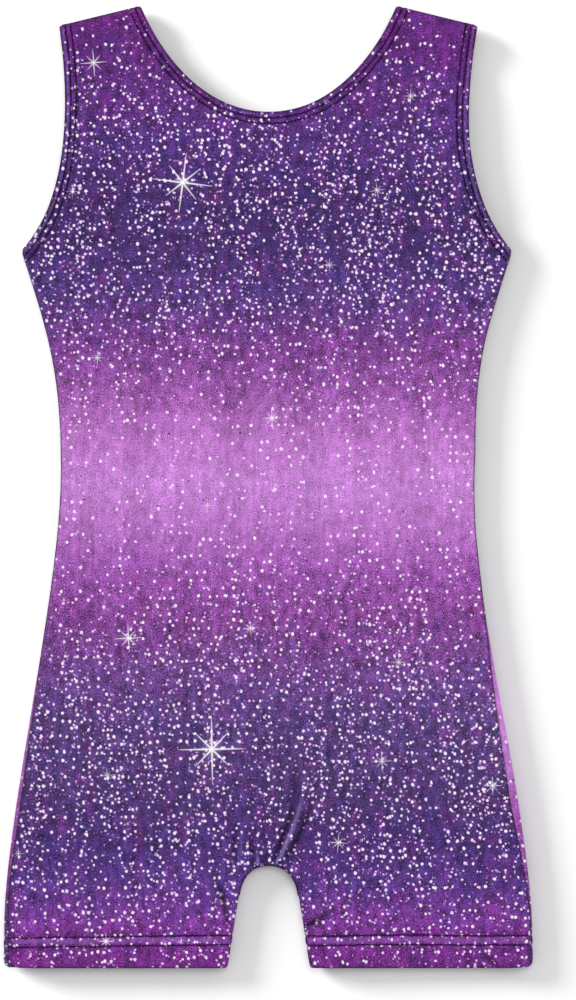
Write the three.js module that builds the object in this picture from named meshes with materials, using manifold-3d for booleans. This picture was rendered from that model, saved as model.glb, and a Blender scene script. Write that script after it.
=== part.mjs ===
// A child's sleeveless gymnastics leotard with short legs, laid flat with its front up.
// Millimetres. +X is the wearer's left, +Y runs up to the shoulders and +Z comes out of the front.
// The origin is under the middle of the garment, on the surface that its back lies on.
//
// The outline is drawn once for the +X half, with heights counted from the hem. The front and
// the back panel are two layers that meet along the closed edges (side seams, shoulder seams
// and inseams) and lie apart everywhere else, with air between them.

import * as THREE from "three";
import { mergeVertices } from "three/addons/utils/BufferGeometryUtils.js";
import Module from "manifold-3d";

const wasm = await Module();
wasm.setup();

const FRONT = 1;
const BACK = -1;

// Overall size of the laid garment.
const LENGTH = 560;
const LAID_THICKNESS = 14;

// Outline of the +X half. A pull is how far a curve runs on towards its next corner before it
// bends away, as the handle of a Bezier curve.
const at = (x, y) => new THREE.Vector2(x, y);
const HEM_CORNER = at(153.7, 0);
const HEM_TOP = at(153.7, 20);
const WAIST = at(120.4, 290);
const UNDERARM = at(143.6, 417.5);
const SHOULDER_TIP = at(121.5, 548.3);
const NECK_TOP = at(74.3, 559.9);
const THIGH_PULL = at(0, 70);
const HIP_PULL = at(0, -75);
const RIB_PULL = at(0, 55);
const UNDERARM_PULL = at(-16.5, -50);

// Armholes and necklines. The back is cut a little wider open than the front.
const ARMHOLE_FOOT_PULL = at(-28.6, 28.5);
const ARMHOLE_TOP_PULL = at(-6.5, -43);
const FRONT_NECK = { depth: 62.1, footPull: at(37, 0), topPull: at(-12, -30) };
const BACK_NECK = { depth: 95, footPull: at(44, 0), topPull: at(-5, -46) };
const BACK_ARMHOLE_INSET = 3;

// Gap between the legs: a round arch with sides that slant out to the hems.
const ARCH_TOP = at(0, 60);
const ARCH_FOOT = at(17, 42);
const ARCH_TOP_PULL = at(10, 0);
const ARCH_FOOT_PULL = at(-1, 12);
const INNER_HEM_CORNER = at(23.8, 0);

// Cloth and the shape that it lies in.
const FABRIC = 0.8;
const EDGE_ROUNDING = 16;
const CLEARANCE = 0.3;
const HEM_DEPTH = 19;

// Threads, elastics, seams and small pieces.
const THREAD = 0.4;
const THREAD_LIFT = 0.6;
const STITCH_ROOM = 1;
const STITCHED_BORDER = 24;
const LIFTED_BORDER = 34;
const EDGE_STITCH_ROWS = [3.7, 6.9];
const HEM_STITCH_ROWS = [13.5, 19];
const ROW_DROP = 1.2;
const ELASTIC_WIDTH = 6;
const ELASTIC_THICKNESS = 0.5;
const ELASTIC_OFFSET = 4;
const ELASTIC_DEPTH = 2.05;
const ELASTIC_TURN = 4;
const ELASTIC_FLAT = 7;
const SEAM_WIDTH = 4.5;
const SEAM_THICKNESS = 1.2;
const SEAM_OFFSET = 4.2;
const SEAM_END = 3;
const INSEAM_START = 13;
const SHOULDER_SEAM_END = 9;
const SIDE_SEAM_TOP = UNDERARM.y - 11.5;
const TAPE_THICKNESS = 0.3;
const TAPE_RISE = 1.3;
const GUSSET_WIDTH = 7;
const GUSSET_TIP = 1;
const GUSSET_OFFSET = -0.9;
const GUSSET_SEAM_WIDTH = 3.4;
const GUSSET_SEAM_THICKNESS = 0.9;
const GUSSET_SEAM_OFFSET = 4.8;
const GUSSET_SEAM_RISE = 0.8;
const LINING = { foot: 70, length: 80, footHalfWidth: 22, topHalfWidth: 38, thickness: 0.6 };
const LABEL = { foot: 180, width: 30, length: 18, thickness: 0.4, inset: 11.5, drop: 3 };

// Steps of the solids.
const PANEL_COLUMNS = 10;
const LEG_ROWS = [0, 12, HEM_DEPTH, HEM_DEPTH + 0.5, 31];
const ARCH_STEPS = 4;
const TORSO_STEPS = 14;
const TORSO_CROWDING = 1.4;
const CHEST_STEPS = 5;
const CHEST_CROWDING = 1.8;
const STRAP_STEPS = 9;
const ROW_STEPS = 16;
const SEAM_STEPS = 20;
const LEG_SEAM_STEPS = 4;
const ARCH_SEAM_STEPS = 6;
const LINING_STEPS = 6;
const LABEL_STEPS = 4;

const SEAM_LEVEL = (LAID_THICKNESS - THREAD_LIFT - THREAD / 2) / 2;
const EDGE_HALF_HEIGHT = FABRIC + CLEARANCE / 2;

// ---- Outline of the +X half -----------------------------------------------------------------

function joinedCurves(...curves) {
  const path = new THREE.CurvePath();
  curves.forEach((curve) => path.add(curve));
  return path;
}

function bend(start, startPull, endPull, end) {
  return new THREE.CubicBezierCurve(start, start.clone().add(startPull), end.clone().add(endPull), end);
}

// From the hem up to the underarm.
const sideSeam = joinedCurves(
  new THREE.LineCurve(HEM_CORNER, HEM_TOP),
  bend(HEM_TOP, THIGH_PULL, HIP_PULL, WAIST),
  bend(WAIST, RIB_PULL, UNDERARM_PULL, UNDERARM),
);

// From the top of the arch down to the hem.
const arch = bend(ARCH_TOP, ARCH_TOP_PULL, ARCH_FOOT_PULL, ARCH_FOOT);
const legSeam = new THREE.LineCurve(ARCH_FOOT, INNER_HEM_CORNER);
const inseam = joinedCurves(arch, legSeam);

const shoulder = new THREE.LineCurve(SHOULDER_TIP, NECK_TOP);

// From the underarm up to the shoulder.
function armhole(inset) {
  const inwards = at(-inset, 0);
  const footPull = ARMHOLE_FOOT_PULL.clone().add(inwards);
  return bend(UNDERARM, footPull, ARMHOLE_TOP_PULL.clone().add(inwards), SHOULDER_TIP);
}

// From the lowest point, on the middle line, up to the shoulder.
function neckline({ depth, footPull, topPull }) {
  return bend(at(0, NECK_TOP.y - depth), footPull, topPull, NECK_TOP);
}

const openEdges = {
  [FRONT]: { neck: neckline(FRONT_NECK), armhole: armhole(0) },
  [BACK]: { neck: neckline(BACK_NECK), armhole: armhole(BACK_ARMHOLE_INSET) },
};

// The point at a given height on a curve that only rises or only falls.
function pointAtHeight(curve, y) {
  const rising = curve.getPoint(1).y > curve.getPoint(0).y;
  let low = 0;
  let high = 1;
  for (let halving = 0; halving < 30; halving++) {
    const middle = (low + high) / 2;
    if (curve.getPoint(middle).y < y === rising) low = middle;
    else high = middle;
  }
  return at(curve.getPoint(low).x, y);
}

function outerEdgeAt(face, y) {
  return pointAtHeight(y < UNDERARM.y ? sideSeam : openEdges[face].armhole, y);
}

// ---- The two lofted layers ------------------------------------------------------------------

// Each segment has the cloth on its left.
function segmentsAlong(curve, count) {
  const points = curve.getSpacedPoints(count).map((p) => new THREE.Vector3(p.x, p.y, 0));
  return points.slice(1).map((end, i) => new THREE.Line3(points[i], end));
}

const closedSegments = [
  ...segmentsAlong(sideSeam, 60),
  ...segmentsAlong(shoulder, 1),
  ...segmentsAlong(inseam, 24),
];

const backOpenSegments = [
  ...segmentsAlong(openEdges[BACK].neck, 16),
  ...segmentsAlong(openEdges[BACK].armhole, 16),
  new THREE.Line3(new THREE.Vector3(0, 0, 0), new THREE.Vector3(HEM_CORNER.x, 0, 0)),
];

// Distance from the nearest segment, and the direction from it into the cloth.
function nearest(segments, x, y) {
  const here = new THREE.Vector3(Math.abs(x), y, 0);
  const foot = new THREE.Vector3();
  let distance = Infinity;
  let closest = null;
  for (const segment of segments) {
    const gap = segment.closestPointToPoint(here, true, foot).distanceTo(here);
    if (gap < distance) {
      distance = gap;
      closest = segment;
    }
  }
  const along = closest.delta(new THREE.Vector3()).normalize();
  return { distance, inward: new THREE.Vector3(-along.y * Math.sign(x || 1), along.x, 0) };
}

// The outer surface of a layer at (x, y): its point and its outward normal. It bulges from the
// closed edges in a quarter ellipse and is flat beyond the rounding. The back lifts a little
// along its open edges, where the stitches pass under it.
function outerSurface(face, x, y) {
  const edge = nearest(closedSegments, x, y);
  const run = 1 - Math.min(edge.distance / EDGE_ROUNDING, 1);
  const rise = Math.sqrt(1 - run * run);
  const border = face === BACK ? nearest(backOpenSegments, x, y).distance : Infinity;
  const lift = STITCH_ROOM * (1 - THREE.MathUtils.smoothstep(border, STITCHED_BORDER, LIFTED_BORDER));
  const loft = SEAM_LEVEL - EDGE_HALF_HEIGHT - lift;
  const height = EDGE_HALF_HEIGHT + loft * rise;
  const normal = edge.inward.clone().multiplyScalar((-loft / EDGE_ROUNDING) * run);
  normal.z = face * rise;
  return {
    point: new THREE.Vector3(x, y, SEAM_LEVEL + face * height),
    through: normal.normalize(),
    inward: edge.inward,
    distance: edge.distance,
    rise,
  };
}

// The cloth is double over the turned-up hems.
function innerHeight(face, x, y) {
  const surface = outerSurface(face, x, y);
  const layers = y <= HEM_DEPTH ? 1 + surface.rise : 1;
  return surface.point.z - face * FABRIC * layers;
}

// ---- Solids ---------------------------------------------------------------------------------

function facingOut(geometry) {
  const corners = geometry.getAttribute("position");
  const index = geometry.index.array;
  const [a, b, c] = [new THREE.Vector3(), new THREE.Vector3(), new THREE.Vector3()];
  let volume = 0;
  for (let i = 0; i < index.length; i += 3) {
    a.fromBufferAttribute(corners, index[i]);
    b.fromBufferAttribute(corners, index[i + 1]);
    c.fromBufferAttribute(corners, index[i + 2]);
    volume += a.dot(b.cross(c));
  }
  if (volume < 0) {
    for (let i = 0; i < index.length; i += 3) [index[i], index[i + 1]] = [index[i + 1], index[i]];
  }
  return geometry;
}

// Moves each corner of a closed geometry to where place() says.
function bent(geometry, place) {
  geometry.deleteAttribute("normal");
  geometry.deleteAttribute("uv");
  const merged = mergeVertices(geometry);
  const corners = merged.getAttribute("position");
  const corner = new THREE.Vector3();
  for (let i = 0; i < corners.count; i++) {
    const moved = place(corner.fromBufferAttribute(corners, i));
    corners.setXYZ(i, moved.x, moved.y, moved.z);
  }
  return facingOut(merged);
}

function mirrored(geometry) {
  return facingOut(geometry.clone().scale(-1, 1, 1));
}

function toManifold(geometry) {
  return new wasm.Manifold(
    new wasm.Mesh({
      numProp: 3,
      vertProperties: geometry.getAttribute("position").array,
      triVerts: new Uint32Array(geometry.index.array),
    }),
  );
}

function joinedHalves(half) {
  const whole = toManifold(half).add(toManifold(mirrored(half))).getMesh();
  const geometry = new THREE.BufferGeometry();
  geometry.setAttribute("position", new THREE.BufferAttribute(whole.vertProperties, 3));
  geometry.setIndex(new THREE.BufferAttribute(whole.triVerts, 1));
  return geometry;
}

// A strip of rectangular section through stations, each with its middle point, the direction
// across its width and the direction through its thickness.
function openBand(stations, widthAt, thickness) {
  const steps = stations.length - 1;
  return bent(new THREE.BoxGeometry(1, steps, 1, 1, steps, 1), (corner) => {
    const number = Math.round(corner.y + steps / 2);
    const station = stations[number];
    return station.point
      .clone()
      .addScaledVector(station.across, corner.x * widthAt(number / steps))
      .addScaledVector(station.through, corner.z * thickness);
  });
}

// The same strip closed into a ring. The width lies square to the ring's run.
function ringBand(stations, width, thickness) {
  const count = stations.length;
  return bent(new THREE.TorusGeometry(2, 1, 4, count), (corner) => {
    const turn = Math.atan2(corner.y, corner.x) / (2 * Math.PI);
    const number = (Math.round(turn * count) + count) % count;
    const before = stations[(number + count - 1) % count].point;
    const after = stations[(number + 1) % count].point;
    const station = stations[number];
    const across = new THREE.Vector3().subVectors(after, before).cross(station.through).normalize();
    const out = Math.hypot(corner.x, corner.y) - 2;
    return station.point
      .clone()
      .addScaledVector(across, ((out - corner.z) * width) / 2)
      .addScaledVector(station.through, ((out + corner.z) * thickness) / 2);
  });
}

// ---- Panels ---------------------------------------------------------------------------------

const eased = (fraction) => (1 - Math.cos(Math.PI * fraction)) / 2;

// Rows of a half panel, each from its inner end (inseam, middle line or neckline) to its outer
// end (side seam or armhole).
function panelRows(face) {
  const neck = openEdges[face].neck;
  const neckFoot = neck.getPoint(0).y;
  const rows = [];
  const level = (inner) => rows.push({ inner, outer: outerEdgeAt(face, inner.y) });
  LEG_ROWS.forEach((y) => level(pointAtHeight(legSeam, y)));
  for (let step = 0; step < ARCH_STEPS; step++) {
    level(arch.getPoint(1 - step / ARCH_STEPS));
  }
  for (let step = 0; step < TORSO_STEPS; step++) {
    const climb = (step / TORSO_STEPS) ** TORSO_CROWDING;
    level(at(0, THREE.MathUtils.lerp(ARCH_TOP.y, UNDERARM.y, climb)));
  }
  for (let step = 0; step < CHEST_STEPS; step++) {
    const climb = (step / CHEST_STEPS) ** CHEST_CROWDING;
    level(at(0, THREE.MathUtils.lerp(UNDERARM.y, neckFoot, climb)));
  }
  for (let step = 0; step <= STRAP_STEPS; step++) {
    const climb = Math.sin((Math.PI / 2) * (step / STRAP_STEPS));
    const outerHeight = THREE.MathUtils.lerp(neckFoot, SHOULDER_TIP.y, climb);
    rows.push({ inner: neck.getPoint(climb), outer: outerEdgeAt(face, outerHeight) });
  }
  return rows;
}

function panel(face) {
  const rows = panelRows(face);
  const steps = rows.length - 1;
  const grid = new THREE.BoxGeometry(PANEL_COLUMNS, steps, 2, PANEL_COLUMNS, steps, 1);
  const half = bent(grid, (corner) => {
    const row = rows[Math.round(corner.y + steps / 2)];
    const across = eased(corner.x / PANEL_COLUMNS + 0.5);
    const { x, y } = row.inner.clone().lerp(row.outer, across);
    const outside = outerSurface(face, x, y).point.z;
    return new THREE.Vector3(x, y, corner.z > 0 ? outside : innerHeight(face, x, y));
  });
  return joinedHalves(half);
}

// ---- Rows of stitches and elastics ----------------------------------------------------------

const shoulderRun = shoulder.getTangent(0);

// Paths on one face, a given distance in from an open edge, from one closed edge to another.
function neckPath(face, offset) {
  const neck = openEdges[face].neck;
  const half = [];
  for (let step = 0; step < ROW_STEPS; step++) {
    const t = Math.sin((Math.PI / 2) * (step / ROW_STEPS));
    const run = neck.getTangent(t);
    half.push(neck.getPoint(t).add(at(run.y, -run.x).multiplyScalar(offset)));
  }
  half.push(NECK_TOP.clone().addScaledVector(shoulderRun, -offset));
  const otherHalf = half.slice(1).map((p) => at(-p.x, p.y));
  return [...otherHalf.reverse(), ...half];
}

function armholePath(face, offset) {
  const curve = openEdges[face].armhole;
  const path = [pointAtHeight(sideSeam, UNDERARM.y - ROW_DROP * offset)];
  for (let step = 1; step < ROW_STEPS; step++) {
    const t = eased(step / ROW_STEPS);
    const run = curve.getTangent(t);
    path.push(curve.getPoint(t).add(at(-run.y, run.x).multiplyScalar(offset)));
  }
  path.push(SHOULDER_TIP.clone().addScaledVector(shoulderRun, offset));
  return path;
}

function hemPath(face, height) {
  const inner = pointAtHeight(legSeam, height);
  const outer = pointAtHeight(sideSeam, height);
  const path = [];
  for (let step = 0; step <= ROW_STEPS; step++) {
    path.push(inner.clone().lerp(outer, eased(step / ROW_STEPS)));
  }
  return path;
}

// A row of stitches runs all round an opening, on the outside of both layers.
function stitchRow(pathOn, offset) {
  const front = pathOn(FRONT, offset).map((p) => outerSurface(FRONT, p.x, p.y));
  const back = pathOn(BACK, offset).map((p) => outerSurface(BACK, p.x, p.y));
  const stations = [...front, ...back.reverse()];
  stations.forEach((station) => station.point.addScaledVector(station.through, THREAD_LIFT));
  return ringBand(stations, THREAD, THREAD);
}

// An elastic runs round an opening between the layers, and turns from one layer to the other
// just inside the closed edges.
function elastic(pathOn) {
  const layer = (face) =>
    pathOn(face, ELASTIC_OFFSET)
      .map((p) => outerSurface(face, p.x, p.y))
      .filter((station) => station.distance > ELASTIC_FLAT)
      .map(({ point, through }) => {
        const sunk = point.clone();
        sunk.z -= Math.sign(through.z) * ELASTIC_DEPTH;
        return { point: sunk, through };
      });
  const turn = (p) => {
    const { inward } = outerSurface(FRONT, p.x, p.y);
    const point = new THREE.Vector3(p.x, p.y, SEAM_LEVEL).addScaledVector(inward, ELASTIC_TURN);
    return { point, through: inward.clone().negate() };
  };
  const ends = pathOn(FRONT, ELASTIC_OFFSET);
  const stations = [
    turn(ends[0]),
    ...layer(FRONT),
    turn(ends[ends.length - 1]),
    ...layer(BACK).reverse(),
  ];
  return ringBand(stations, ELASTIC_WIDTH, ELASTIC_THICKNESS);
}

// ---- Seams and small pieces -----------------------------------------------------------------

const up = new THREE.Vector3(0, 0, 1);

// Stations along a closed edge, from one fraction of its length to another. Each lies a given
// distance into the cloth and a given height over the level where the layers meet.
function seamStations(curve, from, to, offset, rise, steps) {
  const stations = [];
  for (let step = 0; step <= steps; step++) {
    const t = THREE.MathUtils.lerp(from, to, step / steps);
    const edge = curve.getPoint(t);
    const run = curve.getTangent(t);
    const across = new THREE.Vector3(-run.y, run.x, 0);
    const point = new THREE.Vector3(edge.x, edge.y, SEAM_LEVEL + rise).addScaledVector(across, offset);
    stations.push({ point, across, through: up });
  }
  return stations;
}

const evenly = (width) => () => width;

// The overlocked allowances of the front and back panels, inside the garment.
function sideSeamBand() {
  const length = sideSeam.getLength();
  const stations = seamStations(
    sideSeam, SEAM_END / length, SIDE_SEAM_TOP / length, SEAM_OFFSET, 0, SEAM_STEPS,
  );
  return openBand(stations, evenly(SEAM_WIDTH), SEAM_THICKNESS);
}

function shoulderBand(rise, thickness) {
  const end = SHOULDER_SEAM_END / shoulder.getLength();
  const stations = seamStations(shoulder, end, 1 - end, SEAM_OFFSET, rise, 1);
  return openBand(stations, evenly(SEAM_WIDTH), thickness);
}

function inseamBand() {
  const length = legSeam.getLength();
  const stations = seamStations(
    legSeam, INSEAM_START / length, 1 - SEAM_END / length, SEAM_OFFSET, 0, LEG_SEAM_STEPS,
  );
  return openBand(stations, evenly(SEAM_WIDTH), SEAM_THICKNESS);
}

// Both halves of the arch, from the wearer's right leg over the top to the left leg.
function archStations(offset, rise) {
  const left = seamStations(arch, 0, 1, offset, rise, ARCH_SEAM_STEPS);
  const right = left.slice(1).map(({ point, across, through }) => ({
    point: point.clone().setX(-point.x),
    across: across.clone().setX(-across.x),
    through,
  }));
  return [...right.reverse(), ...left];
}

function gussetSeam(face) {
  const stations = archStations(GUSSET_SEAM_OFFSET, face * GUSSET_SEAM_RISE);
  return openBand(stations, evenly(GUSSET_SEAM_WIDTH), GUSSET_SEAM_THICKNESS);
}

// A lens of cloth along the arch, which keeps the two layers apart between the legs.
function gusset() {
  const stations = archStations(GUSSET_OFFSET, 0);
  const upright = stations.map(({ point, across }) => ({ point, across: up, through: across }));
  const swell = GUSSET_WIDTH - GUSSET_TIP;
  const widthAt = (fraction) => GUSSET_TIP + swell * Math.sin(Math.PI * fraction);
  return openBand(upright, widthAt, FABRIC);
}

// A soft patch that lies on the inside of the back panel, over the crotch.
function lining() {
  const grid = new THREE.BoxGeometry(2, 1, 1, LINING_STEPS, LINING_STEPS, 1);
  return bent(grid, (corner) => {
    const climb = corner.y + 0.5;
    const halfWidth = THREE.MathUtils.lerp(LINING.footHalfWidth, LINING.topHalfWidth, climb);
    const x = corner.x * halfWidth;
    const y = LINING.foot + LINING.length * climb;
    const rise = CLEARANCE * 2 + (corner.z > 0 ? LINING.thickness : 0);
    return new THREE.Vector3(x, y, innerHeight(BACK, x, y) + rise);
  });
}

// A satin label held in the left side seam, drooping to the back panel.
function careLabel() {
  const root = pointAtHeight(sideSeam, LABEL.foot + LABEL.width).x - LABEL.inset;
  return bent(new THREE.BoxGeometry(1, 1, 1, LABEL_STEPS, 1, 1), (corner) => {
    const reach = 0.5 - corner.x;
    const y = LABEL.foot + (corner.y + 0.5) * LABEL.width;
    const droop = LABEL.drop * THREE.MathUtils.smoothstep(reach, 0, 1);
    const z = SEAM_LEVEL - droop + corner.z * LABEL.thickness;
    return new THREE.Vector3(root - reach * LABEL.length, y, z);
  });
}

// ---- Assembly -------------------------------------------------------------------------------

const cloth = (color) => new THREE.MeshStandardMaterial({ color, roughness: 0.6, metalness: 0 });
const materials = {
  frontFabric: cloth(0x6c4490),
  backFabric: cloth(0x7d4aa0),
  thread: cloth(0x3a2058),
  elastic: cloth(0xe6e3ea),
  tape: cloth(0xdde2e6),
  lining: cloth(0xf0edf1),
  label: cloth(0xf6f5f2),
};

const garment = new THREE.Group();
garment.position.y = -LENGTH / 2;

function add(name, geometry, material) {
  const mesh = new THREE.Mesh(geometry, material);
  mesh.name = name;
  garment.add(mesh);
}

// Adds a piece of the wearer's left side and its mirror image on the right.
function addPair(name, geometry, material) {
  add(`left_${name}`, geometry, material);
  add(`right_${name}`, mirrored(geometry), material);
}

add("front_panel", panel(FRONT), materials.frontFabric);
add("back_panel", panel(BACK), materials.backFabric);
add("crotch_gusset", gusset(), materials.backFabric);
add("crotch_lining", lining(), materials.lining);
add("care_label", careLabel(), materials.label);
add("neck_elastic", elastic(neckPath), materials.elastic);
addPair("armhole_elastic", elastic(armholePath), materials.elastic);
addPair("shoulder_tape", shoulderBand(TAPE_RISE, TAPE_THICKNESS), materials.tape);
addPair("shoulder_seam", shoulderBand(0, SEAM_THICKNESS), materials.thread);
addPair("side_seam", sideSeamBand(), materials.thread);
addPair("inseam", inseamBand(), materials.thread);
add("front_gusset_seam", gussetSeam(FRONT), materials.thread);
add("back_gusset_seam", gussetSeam(BACK), materials.thread);

["edge", "inner"].forEach((rowName, row) => {
  add(`neck_${rowName}_stitches`, stitchRow(neckPath, EDGE_STITCH_ROWS[row]), materials.thread);
  addPair(
    `armhole_${rowName}_stitches`,
    stitchRow(armholePath, EDGE_STITCH_ROWS[row]),
    materials.thread,
  );
  addPair(`hem_${rowName}_stitches`, stitchRow(hemPath, HEM_STITCH_ROWS[row]), materials.thread);
});

const leotard = new THREE.Group();
leotard.add(garment);

export default leotard;
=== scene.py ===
"""The looks of a child's gymnastics leotard with short legs, laid flat with its front up.

The flat pattern is drawn in millimetres, x from the middle line and y from the leg hems, and is
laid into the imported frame, in metres, by place(). +X is the wearer's left, +Y runs up to the
shoulders and +Z comes out of the front.
"""

import math
import random

import bpy
import numpy as np
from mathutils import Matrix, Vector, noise
from mathutils.bvhtree import BVHTree
from mathutils.geometry import delaunay_2d_cdt
from mathutils.kdtree import KDTree


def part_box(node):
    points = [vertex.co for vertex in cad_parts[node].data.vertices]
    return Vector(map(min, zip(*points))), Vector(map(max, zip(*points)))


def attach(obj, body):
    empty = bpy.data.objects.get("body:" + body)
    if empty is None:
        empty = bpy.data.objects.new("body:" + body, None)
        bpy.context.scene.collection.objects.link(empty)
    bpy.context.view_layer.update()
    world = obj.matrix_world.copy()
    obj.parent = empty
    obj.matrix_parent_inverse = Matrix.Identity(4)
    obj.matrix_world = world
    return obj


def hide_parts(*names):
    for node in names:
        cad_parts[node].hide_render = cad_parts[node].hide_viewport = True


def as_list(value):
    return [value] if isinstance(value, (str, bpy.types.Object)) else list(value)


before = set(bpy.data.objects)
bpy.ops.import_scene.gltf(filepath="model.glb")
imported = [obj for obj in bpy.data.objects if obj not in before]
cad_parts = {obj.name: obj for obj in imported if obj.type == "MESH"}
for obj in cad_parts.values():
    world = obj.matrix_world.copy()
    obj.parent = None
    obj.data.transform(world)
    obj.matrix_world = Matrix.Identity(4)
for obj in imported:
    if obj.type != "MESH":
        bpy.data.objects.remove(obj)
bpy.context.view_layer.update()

FRONT = 1
BACK = -1

# ---- Sizes, in millimetres ------------------------------------------------------------------

# Outline of the +X half, as in the CAD model. A pull is the handle of a Bezier curve.
LENGTH = 560
HEM_CORNER = (153.7, 0)
HEM_TOP = (153.7, 20)
WAIST = (120.4, 290)
UNDERARM = (143.6, 417.5)
SHOULDER_TIP = (121.5, 548.3)
NECK_TOP = (74.3, 559.9)
THIGH_PULL = (0, 70)
HIP_PULL = (0, -75)
RIB_PULL = (0, 55)
UNDERARM_PULL = (-16.5, -50)
ARMHOLE_FOOT_PULL = (-28.6, 28.5)
ARMHOLE_TOP_PULL = (-6.5, -43)
BACK_ARMHOLE_INSET = 3
NECK = {
    FRONT: {"depth": 62.1, "foot_pull": (37, 0), "top_pull": (-12, -30)},
    BACK: {"depth": 95, "foot_pull": (44, 0), "top_pull": (-5, -46)},
}
ARCH_TOP = (0, 60)
ARCH_FOOT = (17, 42)
ARCH_TOP_PULL = (10, 0)
ARCH_FOOT_PULL = (-1, 12)
INNER_HEM_CORNER = (23.8, 0)
HEM_ROUNDING = 4.6
TIP_CUT = 3

# How the two layers lie. They meet at SEAM_LEVEL along the closed edges.
SEAM_LEVEL = 6.6
EDGE_ROUNDING = 13

# How far the +X half is laid in towards the middle: height, distance.
LEAN = (
    (0, 0.2), (110, 0.9), (200, 2.4), (255, 1.9), (300, 0.3), (365, 1.9), (430, 1.7), (480, 2.3),
    (520, 0.8), (545, 0),
)
GUSSET_WIDTH = 7
GUSSET_CUT = -43

# How far the back panel comes round to the front at each thigh: height, width.
WRAP = {
    1: ((0, 0.8), (30, 1.0), (48, 1.9), (64, 3.0), (82, 4.3), (98, 5.2), (122, 4.7), (156, 3.4),
        (196, 0.8), (225, 0)),
    -1: ((0, 2.8), (22, 2.8), (40, 1.9), (62, 2.4), (86, 2.8), (130, 1.5), (166, 0.5), (190, 0)),
}

# Cloth, turned edges and seams.
CLOTH = 0.5
FOLD_RADIUS = 0.75
SEAM_RADIUS = 0.6
HEM_DEPTH = 20.5
EDGE_TURN = 8.6
ALLOWANCE = 5
EDGE_ROWS = (3.7, 6.9)
HEM_ROWS = (13.5, 19)
HEM_SLANT = 1.4
GROOVE_DEPTH = 0.5
GROOVE_WIDTH = 0.5
SHADE_WIDTH = 0.5
PUFF = 0.35

# How far the front sags at its openings, how far in from them that starts, and how far in from
# the seams the front is free to rise.
DROOP = 3.2
DROOP_REACH = 60
FREE_REACH = 26

# Threads.
THREAD = 0.5
STITCH = 2.8


# ---- Outline --------------------------------------------------------------------------------


def bend(start, start_pull, end_pull, end, count=48):
    """Points of a Bezier curve whose handles are given from its ends."""
    start, end = np.array(start, float), np.array(end, float)
    first, second = start + start_pull, end + end_pull
    t = np.linspace(0, 1, count)[:, None]
    return (
        start * (1 - t) ** 3
        + 3 * first * t * (1 - t) ** 2
        + 3 * second * t**2 * (1 - t)
        + end * t**3
    )


def joined(*runs):
    """Runs of points that follow on from one another, as one run."""
    return np.vstack([runs[0]] + [run[1:] for run in runs[1:]])


def ease(value, low, high):
    """0 below low and 1 above high, with a smooth step between."""
    t = np.clip((value - low) / (high - low), 0, 1)
    return t * t * (3 - 2 * t)


def lengths(run):
    """Distance along a run of points, from its start to each point."""
    return np.concatenate([[0], np.cumsum(np.linalg.norm(np.diff(run, axis=0), axis=1))])


def sampled(values, along, at):
    """Values that are given at distances along a run, at other distances along it."""
    return np.stack([np.interp(at, along, column) for column in values.T], axis=-1)


def spaced(run, step):
    """The same run with points about a step apart."""
    along = lengths(run)
    at = np.linspace(0, along[-1], max(2, round(along[-1] / step) + 1))
    return sampled(run, along, at)


def mirrored(run):
    """The run on the other side of the middle line, still with the cloth on its left."""
    return (run * (-1, 1))[::-1]


def hem_corner():
    """The rounded outer corner of a leg hem."""
    turn = np.linspace(-math.pi / 2, 0, 7)[:, None]
    middle = np.array(HEM_CORNER) + (-HEM_ROUNDING, HEM_ROUNDING)
    return middle + HEM_ROUNDING * np.hstack([np.cos(turn), np.sin(turn)])


def blunted(side, armhole):
    """The side and armhole edges with the point between them at the underarm rounded off."""
    tip = side[-1]
    side = spaced(side, 1)[:-TIP_CUT]
    armhole = spaced(armhole, 1)[TIP_CUT:]
    turn = bend(side[-1], (tip - side[-1]) * 0.6, (tip - armhole[0]) * 0.6, armhole[0], 8)
    return joined(side, turn), armhole


def half_outline(face):
    """The edges of the +X half in order, from the crotch round to the neck, cloth on the left."""
    inset = np.array((-BACK_ARMHOLE_INSET if face == BACK else 0, 0))
    neck = NECK[face]
    corner = hem_corner()
    side = joined(
        corner,
        np.array([corner[-1], HEM_TOP]),
        bend(HEM_TOP, THIGH_PULL, HIP_PULL, WAIST),
        bend(WAIST, RIB_PULL, UNDERARM_PULL, UNDERARM),
    )
    armhole = bend(UNDERARM, ARMHOLE_FOOT_PULL + inset, ARMHOLE_TOP_PULL + inset, SHOULDER_TIP)
    side, armhole = blunted(side, armhole)
    neck_foot = (0, NECK_TOP[1] - neck["depth"])
    neckline = bend(neck_foot, neck["foot_pull"], neck["top_pull"], NECK_TOP)[::-1]
    arch = bend(ARCH_TOP, ARCH_TOP_PULL, ARCH_FOOT_PULL, ARCH_FOOT)
    return {
        "inseam": joined(arch, np.array([ARCH_FOOT, INNER_HEM_CORNER], float)),
        "hem": np.array([INNER_HEM_CORNER, corner[0]], float),
        "side": side,
        "armhole": armhole,
        "shoulder": np.array([SHOULDER_TIP, NECK_TOP], float),
        "neck": neckline,
    }


OPEN_EDGES = ("hem", "armhole", "neck")
SIDES = ((1, "left"), (-1, "right"))
half_of = {face: half_outline(face) for face in (FRONT, BACK)}


def wrap(x, y):
    """How far in from the side the back panel comes round to the front, at the thighs."""
    left, right = (np.interp(y, *np.transpose(WRAP[side])) for side in (1, -1))
    return np.where(np.asarray(x) > 0, left, right)


# ---- Distances from the edges ---------------------------------------------------------------


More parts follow.
